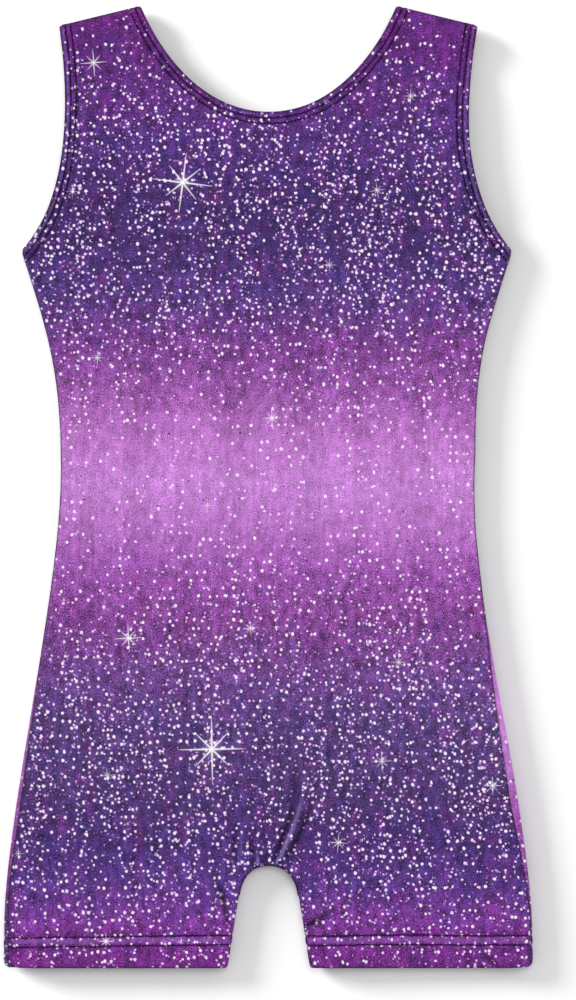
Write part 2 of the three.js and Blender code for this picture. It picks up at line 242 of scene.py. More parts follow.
class Edges:
    """Straight pieces of some edges, to measure from."""

    def __init__(self, runs):
        self.start = np.vstack([run[:-1] for run in runs])
        self.end = np.vstack([run[1:] for run in runs])
        self.middles = KDTree(len(self.start))
        for number, (x, y) in enumerate((self.start + self.end) / 2):
            self.middles.insert((x, y, 0), number)
        self.middles.balance()

    def nearest(self, points):
        """Each point's distance from the edges and the direction from them into the cloth."""
        points = np.asarray(points, float)
        near = np.array(
            [[found[1] for found in self.middles.find_n((x, y, 0), 4)] for x, y in points]
        )
        start = self.start[near]
        along = self.end[near] - start
        square = np.maximum((along**2).sum(2), 1e-9)
        t = np.clip(((points[:, None] - start) * along).sum(2) / square, 0, 1)
        gap = np.linalg.norm(points[:, None] - start - t[..., None] * along, axis=2)
        best = (np.arange(len(points)), gap.argmin(1))
        run = along[best] / np.sqrt(square[best])[:, None]
        return gap[best], np.stack([-run[:, 1], run[:, 0]], axis=1)


def both_halves(face, names):
    """The named edges of a layer on both sides of the middle, to measure from."""
    half = half_of[face]
    runs = [spaced(half[name], 2) for name in names]
    return Edges(runs + [mirrored(run) for run in runs])


closed_edges = both_halves(FRONT, ("inseam", "side", "shoulder"))
open_edges = {face: both_halves(face, OPEN_EDGES) for face in (FRONT, BACK)}


# ---- How the cloth lies ---------------------------------------------------------------------

# Each fold is a smooth curve drawn by four points of the flat pattern, with its width and its
# height over the cloth; a valley has a height below 0. It fades towards its end.
FOLDS = (
    ((2.4, 61.2), (8.5, 77.0), (17.4, 98.0), (18.4, 128.0), 1.2, -2.3),
    ((4.5, 60.8), (12.0, 76.0), (21.5, 96.0), (23.0, 124.0), 1.3, 2.8),
    ((6.6, 60.0), (17.0, 74.0), (26.8, 92.0), (28.5, 120.0), 1.2, -2.3),
    ((-8.3, 58.8), (-8.7, 64.0), (-9.1, 69.0), (-9.6, 79.0), 1.1, -1.8),
    ((-6.2, 60.0), (-6.6, 65.0), (-7.0, 70.0), (-7.4, 79.0), 1.2, 2.4),
    ((-4.1, 60.8), (-4.4, 65.0), (-4.7, 70.0), (-5.0, 77.0), 1.1, -1.6),
    ((-19.0, 63.0), (-21.2, 76.0), (-22.6, 92.0), (-29.0, 118.0), 1.8, -1.5),
    ((-16.0, 66.0), (-17.0, 78.0), (-14.6, 92.0), (-16.0, 114.0), 3.0, 1.2),
    ((-9.8, 68.0), (-11.6, 79.0), (-12.2, 91.0), (-12.4, 106.0), 1.6, -1.1),
    ((-23.6, 27.0), (-26.4, 37.0), (-30.0, 50.0), (-35.0, 68.0), 1.4, -2.4),
    ((-27.4, 25.0), (-30.6, 36.0), (-34.5, 50.0), (-40.0, 68.0), 2.6, 1.0),
    ((22.0, 24.6), (28.0, 27.4), (33.5, 31.0), (41.0, 38.0), 1.5, -2.4),
    ((133.0, 2.0), (128.5, 5.6), (124.0, 8.9), (118.0, 13.4), 1.5, -1.9),
    ((128.5, 1.2), (123.0, 5.4), (118.0, 9.0), (112.0, 12.6), 2.1, 1.3),
    ((117.0, 1.8), (112.5, 6.5), (108.0, 10.4), (103.0, 13.6), 1.7, -1.2),
)


# No fold is felt farther than this from its middle.
FOLD_REACH = 70


def fold_height(points, fold):
    """Height of one fold, which widens and fades along its curve."""
    start, first, second, end, width, height = fold
    along = np.linspace(0, 1, 60)
    left = 1 - along
    pulls = np.column_stack([left**3, 3 * along * left**2, 3 * along**2 * left, along**3])
    run = pulls @ np.array([start, first, second, end])
    gap = np.linalg.norm(run[None] - points[:, None], axis=2)
    best = gap.argmin(1)
    spread = width * (0.7 + 1.5 * along[best])
    return height * np.exp(-((gap.min(1) / spread) ** 2)) * left[best] ** 0.75


def folded(points):
    """Height of all folds together."""
    height = np.zeros(len(points))
    for fold in FOLDS:
        near = np.abs(points - np.mean(fold[:4], axis=0)).max(1) < FOLD_REACH
        if near.any():
            height[near] += fold_height(points[near], fold)
    return height


def waves(points, size, seed):
    """Soft random waves from about -1 to 1, a given size across, longer up than across."""
    return np.array([noise.noise((x / size, y / (size * 1.8), seed)) * 1.6 for x, y in points])


def billow(face, points, edge_distance):
    """How far the layer stands off its plain surface, outwards. The back lies flat."""
    if face == BACK:
        return 0
    inner = ease(edge_distance, 2, FREE_REACH)
    soft = waves(points, 46, 3.1) * 0.5 + waves(points, 17, 9.7) * 0.22
    soft = soft + settled_lift(points)
    opening, _ = open_edges[face].nearest(points)
    droop = 1 - ease(opening, 0, DROOP_REACH)
    return (soft - DROOP * droop) * inner + folded(points) * ease(edge_distance, -1, 2)


def gusset_half(points):
    """Half the height of the gusset beside a point; it only stands up round the arch."""
    climb = ease(points[:, 1], ARCH_FOOT[1] - 6, ARCH_TOP[1])
    return GUSSET_WIDTH / 2 * climb * (1 - ease(np.abs(points[:, 0]), 24, 44))


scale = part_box("front_panel")
PATTERN_FOOT = scale[0].y * 1000
PATTERN_SCALE = (scale[1].y - scale[0].y) * 1000 / LENGTH


def dome(points):
    """Height of a plain layer over its seams, how far it leans out there, the distance from
    the seams and the way in from them."""
    distance, inward = closed_edges.nearest(points)
    run = 1 - np.minimum(distance / EDGE_ROUNDING, 1)
    foot = gusset_half(points)
    return foot + (SEAM_LEVEL - foot) * np.sqrt(1 - run**2), run, distance, inward


def surface(face, points):
    """Points and outward directions of a layer's outer surface over points of the pattern."""
    points = np.asarray(points, float)
    height, run, distance, inward = dome(points)
    rise = np.sqrt(1 - run**2)
    height = height + billow(face, points, distance)
    place = np.column_stack([points, SEAM_LEVEL + face * height])
    out = np.column_stack([-inward * (run * SEAM_LEVEL / EDGE_ROUNDING)[:, None], face * rise])
    out += (0, 0, face * 1e-3)
    return place, out / np.linalg.norm(out, axis=1)[:, None]


def lean(points):
    """How far points of the pattern lie to the side of where they would if it lay straight."""
    inward = np.interp(points[:, 1], *np.transpose(LEAN)) * ease(points[:, 0], 15, 100)
    return -inward - 0.5 * ease(-points[:, 0], 30, 120)


def place(face, points, depth=0.0):
    """Frame positions, in metres, at a depth under a layer's outer surface, with directions."""
    on, out = surface(face, points)
    on = on - out * np.broadcast_to(depth, len(on))[:, None]
    on[:, 0] += lean(on)
    on[:, :2] *= PATTERN_SCALE
    on[:, 1] += PATTERN_FOOT
    return on / 1000, out


# ---- Mesh helpers ---------------------------------------------------------------------------


def make_piece(name, slot, vertices, faces, materials, flat=None, painted_shade=None):
    """A smooth mesh object that stands for the CAD node of the same name. flat gives each
    vertex's place on the flat cloth, in metres, and painted_shade its painted shade, which is painted
    highlight below 0."""
    mesh = bpy.data.meshes.new(f"soft_{name}")
    mesh.from_pydata([tuple(v) for v in vertices], [], faces)
    mesh.update()
    mesh.shade_smooth()
    if flat is not None:
        layer = mesh.uv_layers.new(name="print")
        corners = np.array([loop.vertex_index for loop in mesh.loops])
        layer.data.foreach_set("uv", np.asarray(flat, np.float32)[corners].ravel())
    if painted_shade is not None:
        layer = mesh.attributes.new("painted_shade", "FLOAT", "POINT")
        layer.data.foreach_set("value", np.asarray(painted_shade, np.float32))
    for material in materials:
        mesh.materials.append(material)
    piece = bpy.data.objects.new(mesh.name, mesh)
    bpy.context.scene.collection.objects.link(piece)
    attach(piece, "root")
    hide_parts(name)
    return piece


def thicken(piece, thickness):
    """Gives a sheet its thickness, inwards, with the second material on its wrong side."""
    solid = piece.modifiers.new("cloth", "SOLIDIFY")
    solid.thickness = thickness / 1000
    solid.offset = -1
    solid.use_even_offset = False
    solid.material_offset = 1
    solid.material_offset_rim = 0
    return piece


def cut_size(piece):
    """Width, length and area of the flat cloth that a piece is cut from, in metres."""
    mesh = piece.data
    layer = mesh.uv_layers["print"].data
    flat = np.array([corner.uv for corner in layer])
    area = 0.0
    for face in mesh.polygons:
        x, y = flat[list(face.loop_indices)].T
        area += abs((x * np.roll(y, -1) - y * np.roll(x, -1)).sum()) / 2
    return tuple(float(v) for v in np.ptp(flat, axis=0)), area


def grid_faces(rows, columns, flip=False):
    """Faces of a grid of points given row by row."""
    faces = []
    for r in range(rows - 1):
        for c in range(columns - 1):
            a = r * columns + c
            quad = (a, a + 1, a + columns + 1, a + columns)
            faces.append(quad[::-1] if flip else quad)
    return faces


def grid_piece(name, slot, rows, materials, thickness, flat=None, painted_shade=None):
    """A sheet over points given row by row; flat gives the same on the flat cloth."""
    faces = grid_faces(len(rows), len(rows[0]))
    if flat is not None:
        flat = np.vstack(flat) / 1000
    piece = make_piece(name, slot, np.vstack(rows), faces, materials, flat, painted_shade)
    return thicken(piece, thickness)


def tube(line, radius, sides=6):
    """Vertices and faces of a closed tube round a line; the radius may vary along it."""
    line = np.asarray(line, float)
    run = np.gradient(line, axis=0)
    run /= np.maximum(np.linalg.norm(run, axis=1), 1e-12)[:, None]
    side = np.cross(run, (0.0, 0.0, 1.0))
    short = np.linalg.norm(side, axis=1) < 1e-3
    side[short] = (1, 0, 0)
    side /= np.linalg.norm(side, axis=1)[:, None]
    up = np.cross(side, run)
    radius = np.broadcast_to(radius, len(line))
    turn = np.linspace(0, 2 * math.pi, sides, endpoint=False)
    ring = np.cos(turn)[None, :, None] * side[:, None] + np.sin(turn)[None, :, None] * up[:, None]
    vertices = (line[:, None] + ring * radius[:, None, None]).reshape(-1, 3)
    faces = []
    for r in range(len(line) - 1):
        for k in range(sides):
            a, b = r * sides + k, r * sides + (k + 1) % sides
            faces.append((a, b, b + sides, a + sides))
    faces.append(tuple(range(sides))[::-1])
    last = (len(line) - 1) * sides
    faces.append(tuple(range(last, last + sides)))
    return vertices, faces


def gathered(parts):
    """Several lots of vertices and faces as one lot."""
    vertices, faces, count = [], [], 0
    for some, these in parts:
        vertices.append(some)
        faces += [tuple(i + count for i in face) for face in these]
        count += len(some)
    return np.vstack(vertices), faces


# ---- Panels ---------------------------------------------------------------------------------

# Distances from an edge at which the cloth gets rows of points of their own.
OPEN_ROWS = (
    0.12, 0.35, 0.75, 1.3, 2.2, 3.0, 3.4, 3.7, 4.0, 4.5, 5.3, 6.1, 6.6, 6.9, 7.2, 7.8, 8.9,
)
HEM_OPEN_ROWS = (
    0.12, 0.35, 0.75, 1.3, 3, 5, 7.5, 10, 11.2, 12, 12.7, 13.2, 13.5, 13.8, 14.4, 15.4, 16.3,
    17.2, 18.1, 18.7, 19, 19.3, 19.9, 21,
)
OPEN_ROWS_OF = {"hem": HEM_OPEN_ROWS, "armhole": OPEN_ROWS, "neck": OPEN_ROWS}
CLOSED_ROWS = (0.1, 0.3, 0.6, 1.1, 2.0, 3.2, 4.8, 6.8, 9.3)
# Distances at which an open edge is carried on past its seam.
CARRY = (1.3, 2.6, 3.9, 5.2, 6.5, 7.8)
# Distances between points along the edges and over the cloth, which are closer near the arch.
OPEN_STEP = 1.3
CLOSED_STEP = 2.0
ARCH_STEP = 1.1
GRID_STEP = 2.9
FINE_STEP = 1.25
FINE_AREA = ((-61, 61), (25, 149))
# How far the grids of points reach across, and how far apart their rows are over their step.
GRID_ACROSS = (-160, 160)
ROW_RISE = 0.866
# How far the even grid of points stays from the edges, and from the stitched hems.
GRID_MARGIN = 9.8
HEM_MARGIN = 22
# How far the rows along open edges stop short of the seams.
SEAM_MARGIN = 0.9


def to_front(run, part=1.0):
    """A side edge of the back moved round to the front, towards its seam with the front."""
    inward = np.column_stack([-np.sign(run[:, 0]), np.zeros(len(run))])
    return run + inward * (wrap(run[:, 0], run[:, 1]) * part)[:, None]


def panel_edges(face):
    """All edges of a panel in order round it, as a name and evenly spaced points."""
    steps = dict.fromkeys(OPEN_EDGES, OPEN_STEP) | {"inseam": ARCH_STEP}
    edges = [
        (name, spaced(run, steps.get(name, CLOSED_STEP))) for name, run in half_of[face].items()
    ]
    edges += [(name, mirrored(run)) for name, run in reversed(edges)]
    if face == BACK:
        return edges
    edges = [(name, to_front(run) if name == "side" else run) for name, run in edges]
    for place, (name, run) in enumerate(edges):
        if name == "hem":
            start = edges[place - 1][1][-1]
            end = edges[(place + 1) % len(edges)][1][0]
            edges[place] = (name, spaced(np.array([start, end]), OPEN_STEP))
    return edges


def carried_on(name, run):
    """An open edge with each end that meets a seam carried straight on past it."""
    if name == "hem":
        return run
    first, last = run[0] - run[1], run[-1] - run[-2]
    ends = [run]
    if name == "armhole" or abs(run[0][0]) > 1:
        ends.insert(0, [run[0] + first / np.linalg.norm(first) * far for far in CARRY[::-1]])
    if name == "armhole" or abs(run[-1][0]) > 1:
        ends.append([run[-1] + last / np.linalg.norm(last) * far for far in CARRY])
    return np.vstack(ends)


def normals_of(run):
    """Directions from the points of an edge into the cloth on its left."""
    step = np.gradient(run, axis=0)
    step /= np.maximum(np.linalg.norm(step, axis=1), 1e-9)[:, None]
    return np.stack([-step[:, 1], step[:, 0]], axis=1)


def edge_shade(distance):
    """Painted shade of an edge: 1 at the edge and next to nothing 2 mm in."""
    return np.exp(-((np.asarray(distance) / 0.9) ** 2))


def curl(distance, radius):
    """Depth of the surface near a turned edge: a quarter circle down from the flat."""
    left = np.clip(radius - distance, 0, radius)
    return radius - np.sqrt(np.maximum(radius**2 - left**2, 0))


def wander(points):
    """How far a row of stitches strays from its line beside a point."""
    slant = HEM_SLANT * ease(-points[:, 0], 24, HEM_CORNER[0]) * (points[:, 1] < 30)
    stray = [
        0.45 * noise.noise((x / 31, y / 31, 5.5)) + 0.22 * noise.noise((x / 6, y / 6, 8.8))
        for x, y in points
    ]
    return np.array(stray) - slant


def stitched_relief(points, distance, rows):
    """Depth of the grooves that the stitches pull, less the puff of the cloth between them."""
    distance = distance - wander(points)
    depth = np.zeros(len(distance))
    for row in rows:
        depth += GROOVE_DEPTH * np.exp(-(((distance - row) / GROOVE_WIDTH) ** 2))
    between = (distance - rows[0]) / (rows[1] - rows[0])
    inside = (between > 0) & (between < 1)
    depth[inside] -= PUFF * np.sin(math.pi * between[inside])
    beside = distance / rows[0]
    outside = (beside > 0.1) & (beside < 1)
    depth[outside] -= PUFF * 0.7 * np.sin(math.pi * beside[outside])
    return depth


# From where to where a band beside the stitches is rounded, and how strong its painted highlight is.
PAINTED_BAND_HIGHLIGHTS = {
    "neck": (0.8, EDGE_ROWS[0] - 0.4, 0.1),
    "armhole": (0.8, EDGE_ROWS[0] - 0.4, 0.3),
    "hem": (HEM_ROWS[0] + 0.4, HEM_ROWS[1] - 0.4, 0.22),
}


def painted_row_shade(points, distance, rows):
    """Painted shade along the rows of stitches, where the grooves fall into shade, 0 to 1."""
    distance = distance - wander(points)
    # The painted shade comes and goes along each row.
    pull = np.array([0.95 + 0.6 * noise.noise((x / 4, y / 4, 1.2)) for x, y in points])
    return sum(np.exp(-(((distance - row) / SHADE_WIDTH) ** 2)) for row in rows) * pull


def painted_band_highlight(distance, name):
    """Painted highlight on the rounded band of cloth beside a row of stitches."""
    low, high, strength = PAINTED_BAND_HIGHLIGHTS[name]
    band = ease(distance, low, low + 0.8) * (1 - ease(distance, high - 0.8, high))
    return strength * band


class Panel:
    """One panel: its edges, its triangles and where every point goes."""

    def __init__(self, face):
        self.face = face
        self.edges = panel_edges(face)
        self.open = {name: self.measured(name) for name in OPEN_EDGES}
        self.closed = Edges([run for name, run in self.edges if name not in OPEN_EDGES])
        self.shoulder = self.measured("shoulder")
        self.loop = np.vstack([run[:-1] for _, run in self.edges])

    def measured(self, name):
        """The edges of one name, to measure from."""
        runs = [run for edge, run in self.edges if edge == name]
        return Edges([carried_on(name, run) if name in OPEN_EDGES else run for run in runs])

    def holds(self, points):
        """Whether points lie inside the panel's edges."""
        x, y = points.T
        inside = np.zeros(len(points), bool)
        for start, end in zip(self.loop, np.roll(self.loop, -1, axis=0)):
            crossed = (start[1] > y) != (end[1] > y)
            rise = end[1] - start[1]
            if crossed.any():
                at = start[0] + (y[crossed] - start[1]) * (end[0] - start[0]) / rise
                inside[crossed] ^= x[crossed] < at
        return inside

    def depth_at(self, points):
        """Depth under the plain outer surface, with its curled edges, grooves and puffs, and
        the painted shade and painted highlight of the cloth there."""
        depth = np.zeros(len(points))
        # Painted shade in the valleys of the folds and painted highlight on their ridges.
        valley = -folded(points) if self.face == FRONT else depth
        painted_shade = 1.1 * ease(valley, 0.1, 1.7)
        light = ease(-valley, 0.4, 2.5)
        for name, edges in self.open.items():
            distance, _ = edges.nearest(points)
            rows = HEM_ROWS if name == "hem" else EDGE_ROWS
            depth += stitched_relief(points, distance, rows) + curl(distance, FOLD_RADIUS)
            # Painted shade along each open edge and its stitch rows, painted highlight on the bands
            # beside them.
            painted_shade = np.maximum(painted_shade, edge_shade(distance))
            painted_shade = np.maximum(painted_shade, painted_row_shade(points, distance, rows))
            light = light + painted_band_highlight(distance, name)
        distance, _ = self.closed.nearest(points)
        depth += curl(distance, SEAM_RADIUS)
        if self.face == BACK:
            distance = distance + 3 * wrap(points[:, 0], points[:, 1])
        # Painted shade along the closed seams.
        painted_shade = np.maximum(painted_shade, edge_shade(1.3 * distance))
        # Wider painted shade along the shoulder seams.
        distance, _ = self.shoulder.nearest(points)
        return depth, np.maximum(painted_shade, edge_shade(0.8 * distance)) - light

    def clear_of_open(self, points, least=None, but=None):
        """Whether points are far enough from all open edges, or from all but one."""
        clear = np.ones(len(points), bool)
        for name, edges in self.open.items():
            if name != but:
                distance, _ = edges.nearest(points)
                clear &= distance > (OPEN_ROWS_OF[name][-1] if least is None else least)
        return clear

    def closed_rows(self, run, border):
        """Rows of points along a closed edge."""
        for row in CLOSED_ROWS:
            points = run + normals_of(run) * row
            distance, _ = border.nearest(points)
            clear = self.clear_of_open(points, row if row < 1 else None)
            yield points[(distance > row - 0.04) & clear]

    def open_rows(self, name, run):
        """Rows of points along an open edge, which stray as its stitches do."""
        run = carried_on(name, run)
        rows = OPEN_ROWS_OF[name]
        for row in rows:
            points = run + normals_of(run) * row
            stray = wander(points) if 2 < row < rows[-1] else np.zeros(len(run))
            points += normals_of(run) * stray[:, None]
            own, _ = self.open[name].nearest(points)
            seam, _ = self.closed.nearest(points)
            keep = (own > row + stray - 0.06) & (seam > SEAM_MARGIN) & self.holds(points)
            yield points[keep & self.clear_of_open(points, but=name)]

    def triangles(self):
        """Points of the pattern inside the edges, and the faces between them."""
        border = Edges([np.vstack([self.loop, self.loop[:1]])])
        rows = []
        for name, run in self.edges:
            is_open = name in OPEN_EDGES
            rows += self.open_rows(name, run) if is_open else self.closed_rows(run, border)
        (left, right), (low, high) = FINE_AREA
        wide = hexagons(GRID_STEP, GRID_ACROSS, (0, LENGTH))
        x, y = wide.T
        covered = (x > left) & (x < right) & (y > low) & (y < high)
        fine = hexagons(FINE_STEP, (left - 1, right + 1), (low - 1, high + 1))
        grid = np.vstack([wide[~covered], fine])
        distance, _ = border.nearest(grid)
        hem, _ = self.open["hem"].nearest(grid)
        grid = grid[(distance > GRID_MARGIN) & (hem > HEM_MARGIN)]
        return triangulated(self.loop, np.vstack([unique_far(np.vstack(rows)), grid]))


def triangulated(loop, inner):
    """A closed loop and points inside it as all points, the triangles between them, and where
    in the list each point of the loop now is."""
    count = len(loop)
    ring = [(i, (i + 1) % count) for i in range(count)]
    points = [tuple(point) for point in np.vstack([loop, inner])]
    flat, _, faces, origins, *_ = delaunay_2d_cdt(points, ring, [], 1, 1e-5)
    new_of = {old: new for new, olds in enumerate(origins) for old in olds}
    flat = np.array([tuple(v) for v in flat])
    return flat, [tuple(face) for face in faces], [new_of[i] for i in range(count)]


def hexagons(step, across, up):
    """Points of a triangular grid."""
    points = []
    rows = int((up[1] - up[0]) / (step * ROW_RISE))
    for r in range(rows + 1):
        y = up[0] + r * step * ROW_RISE
        shift = step / 2 * (r % 2)
        xs = np.arange(across[0] + shift, across[1], step)
        points.append(np.column_stack([xs, np.full(len(xs), y)]))
    return np.vstack(points)


def unique_far(points, gap=0.05):
    """Points without near repeats of each other."""
    cells = np.round(points / gap).astype(int)
    _, first = np.unique(cells, axis=0, return_index=True)
    return points[np.sort(first)]


def strip_rows(name):
    """How an edge goes on round into the garment: how far in, how deep and how much cloth."""
    if name not in OPEN_EDGES:
        return [
            (0.35 * part + ALLOWANCE * part**2, SEAM_RADIUS + 1.6 * part, ALLOWANCE * part)
            for part in (0.15, 0.4, 0.7, 1)
        ]
    turn = HEM_DEPTH if name == "hem" else EDGE_TURN
    rows = []
    for angle in (25, 55, 90):
        a = math.radians(angle)
        rows.append((1 - math.cos(a), 1 + math.sin(a), a))
    rows = [tuple(FOLD_RADIUS * part for part in row) for row in rows]
    for part in (0.25, 0.5, 0.75, 1):
        inset = FOLD_RADIUS + (turn - FOLD_RADIUS) * part
        rows.append((inset, 2 * FOLD_RADIUS, FOLD_RADIUS * math.pi / 2 + inset))
    return rows


class Patchwork:
    """Points and faces of a panel as they are put together."""

    def __init__(self, vertices, flat, painted_shade, faces):
        self.vertices = [vertices]
        self.flat = [flat]
        self.painted_shade = [painted_shade]
        self.faces = list(faces)
        self.count = len(vertices)

    def sew(self, before, vertices, flat, painted_shade, flip):
        """Adds a row of points and the faces between it and the row before it."""
        self.vertices.append(vertices)
        self.flat.append(flat)
        self.painted_shade.append(painted_shade)
        row = list(range(self.count, self.count + len(vertices)))
        self.count += len(row)
        for quad in zip(before[1:], before, row, row[1:]):
            self.faces.append(quad[::-1] if flip else quad)
        return row


def build_panel(name, slot, face, materials):
    """A panel with its edges turned in and, on the back, its sides wrapped to the front."""
    panel = outline_of[face]
    flat, faces, ring = panel.triangles()
    depth, painted_shade = panel.depth_at(flat)
    vertices, _ = place(face, flat, depth)
    if face == BACK:
        faces = [f[::-1] for f in faces]
    patch = Patchwork(vertices, flat, painted_shade, faces)
    start = 0
    for edge, run in panel.edges:
        before = [ring[(start + k) % len(ring)] for k in range(len(run))]
        start += len(run) - 1
        into = normals_of(run)
        taper = np.minimum(1, np.minimum(lengths(run), lengths(run[::-1])[::-1]) / 6 + 0.05)
        face_of_edge, base = face, run
        if edge == "side" and face == BACK:
            before = wrap_side(patch, run, before)
            face_of_edge, base = FRONT, to_front(run)
        for inset, deep, used in strip_rows(edge):
            if edge not in OPEN_EDGES:
                inset = inset * taper[:, None]
            placed, _ = place(face_of_edge, base + into * inset, deep)
            # Painted shade on the turned-in strips, full near the fold and lighter farther in.
            turned = np.full(len(run), 1 if used < 1 else 0.35)
            before = patch.sew(before, placed, run - into * used, turned, face == BACK)
    vertices, flat = np.vstack(patch.vertices), np.vstack(patch.flat) / 1000
    painted_shade = np.concatenate(patch.painted_shade)
    piece = make_piece(name, slot, vertices, patch.faces, materials, flat, painted_shade)
    return thicken(piece, CLOTH)


def wrap_side(patch, run, before):
    """Adds the part of the back panel that comes round the side to the front."""
    amount = wrap(run[:, 0], run[:, 1])
    into = normals_of(run)
    # Painted shade over the whole wrapped strip on the wearer's right.
    right_strip_shade = 0.4 * (run[:, 0] < 0)
    for part in (0.12, 0.3, 0.5, 0.7, 0.86, 0.95, 1):
        left = amount * (1 - part)
        depth = curl(left, SEAM_RADIUS) * np.clip(amount / 1.5, 0, 1)
        points = to_front(run, part)
        height = points[:, 1]
        depth = depth + curl(height, FOLD_RADIUS) + stitched_relief(points, height, HEM_ROWS)
        placed, _ = place(FRONT, points, depth)
        flat = run - into * (amount * part)[:, None]
        # Painted shade where the strip turns round to its seam and along the hem's edge.
        painted_shade = np.maximum(edge_shade(2 * left) * ease(part, 0.4, 0.9) + edge_shade(height), right_strip_shade)
        before = patch.sew(before, placed, flat, painted_shade, True)
    return before


outline_of = {face: Panel(face) for face in (FRONT, BACK)}


# ---- How the front settles ------------------------------------------------------------------

# Distance between the points of the coarse cloth, how long and how hard it is blown up, how far
# it may rise, and how near a seam it counts as sewn down.
SETTLE_STEP = 7
SETTLE_FRAMES = 20
SETTLE_PRESSURE = 1.2
SETTLE_LIMIT = 2.6
SEWN_WIDTH = 1.5


def coarse_front():
    """Points of the pattern about SETTLE_STEP apart, and the faces between them."""
    panel = outline_of[FRONT]
    loop = panel.loop[::4]
    grid = hexagons(SETTLE_STEP, GRID_ACROSS, (0, LENGTH))
    distance, _ = Edges([np.vstack([loop, loop[:1]])]).nearest(grid)
    inner = grid[panel.holds(grid) & (distance > SETTLE_STEP / 2)]
    flat, faces, _ = triangulated(loop, inner)
    return flat, faces


def settle():
    """Blows a coarse front up a little as cloth that is sewn down at its seams. Gives a tree of
    how far that moves it, as heights over the flat pattern, in metres."""
    flat, faces = coarse_front()
    plain, _, distance, _ = dome(flat)
    mesh = bpy.data.meshes.new("settling")
    mesh.from_pydata([tuple(v) for v in np.column_stack([flat, plain]) / 1000], [], faces)
    piece = bpy.data.objects.new("settling", mesh)
    bpy.context.scene.collection.objects.link(piece)
    sewn = piece.vertex_groups.new(name="sewn")
    sewn.add([int(i) for i in np.flatnonzero(distance < SEWN_WIDTH)], 1.0, "REPLACE")

    cloth = piece.modifiers.new("cloth", "CLOTH")
    cloth.settings.quality = 8
    cloth.settings.bending_stiffness = 0.5
    cloth.settings.vertex_group_mass = "sewn"
    cloth.settings.use_pressure = True
    cloth.settings.uniform_pressure_force = SETTLE_PRESSURE
    cloth.settings.effector_weights.gravity = 0
    cloth.collision_settings.use_collision = False
    cloth.point_cache.frame_end = SETTLE_FRAMES
    for number in range(1, SETTLE_FRAMES + 1):
        bpy.context.scene.frame_set(number)
    moved = piece.evaluated_get(bpy.context.evaluated_depsgraph_get()).data
    height = np.array([vertex.co.z for vertex in moved.vertices])

    piece.modifiers.remove(cloth)
    lift = np.column_stack([flat / 1000, height - plain / 1000])
    mesh.vertices.foreach_set("co", lift.ravel())
    mesh.update()
    piece.modifiers.new("smooth", "SUBSURF").levels = 2
    bpy.context.view_layer.update()
    tree = BVHTree.FromObject(piece, bpy.context.evaluated_depsgraph_get())
    bpy.data.objects.remove(piece)
    bpy.data.meshes.remove(mesh)
    bpy.context.scene.frame_set(1)
    return tree


def settled_lift(points):
    """How far the settled cloth stands over the plain layer, held to a limit."""
    if settled is None:
        return 0
    lift = []
    for x, y in points / 1000:
        found = settled.ray_cast((x, y, 1), (0, 0, -1))[0] or settled.find_nearest((x, y, 0))[0]
        lift.append(found.z * 1000)
    return SETTLE_LIMIT * np.tanh(np.array(lift) / SETTLE_LIMIT)


settled = settle()


# ---- Stitches, elastics and seams -----------------------------------------------------------


def inside_run(face, name, offset, side):
    """The line a distance in from an open edge, on one side of the body."""
    run = carried_on(name, spaced(half_of[face][name], 1.0))
    points = run + normals_of(run) * offset
    if name == "hem":
        points = np.array([[p, offset] for p in (leg_edge(offset), side_edge(offset))])
        points = spaced(points, 1.0)
    distance, _ = closed_edges.nearest(points)
    points = points[(distance > 0.5) & outline_of[face].holds(points)]
    return points if side > 0 else mirrored(points)


def leg_edge(height):
    """How far from the middle the inner edge of a leg is at a height."""
    inseam = half_of[FRONT]["inseam"]
    return float(np.interp(-height, -inseam[:, 1], inseam[:, 0]))


def side_edge(height):
    """How far from the middle the side edge is at a height."""
    side = half_of[FRONT]["side"]
    return float(np.interp(height, side[:, 1], side[:, 0]))


# The ribs across an elastic and a stay tape: the first and last one's distance from the edge,
# their number and their height.
ELASTIC_RIBS = ((1.1, 6.6), 23, 0.06)
TAPE_RIBS = ((1.0, 5.2), 9, 0.05)
ELASTIC_THICKNESS = 0.3
TAPE_THICKNESS = 0.2
# The crotch lining: height of its lower edge over the hems, its own height, its half width
# below and how much wider it is above, and its thickness.
LINING_FOOT = 70
LINING_HEIGHT = 80
LINING_HALF = 22
LINING_FLARE = 16
LINING_THICKNESS = 0.4
# The care label: where along the side seam it starts and ends, how far it stands in and its
# thickness.
LABEL_SPAN = (180, 210)
LABEL_REACH = 18.0
LABEL_INSET = 11.5
LABEL_THICKNESS = 0.15
# Over four points of the overlock's looping thread: how far it swings out over the seam's
# width, and how deep it runs.
LOOP_SWING = (0.55, 1.02, 1.08, 0.6)
LOOP_DEPTH = (0.28, 0.2, -0.75, -0.85)
# Along one stitch, from end to end: how deep it is sunk and how thick the thread is.
DIP = np.array((0.62, 0.18, 0.02, 0.0, 0.02, 0.18, 0.62))
SWELL = np.array((0.55, 0.9, 1, 1, 1, 0.9, 0.55))


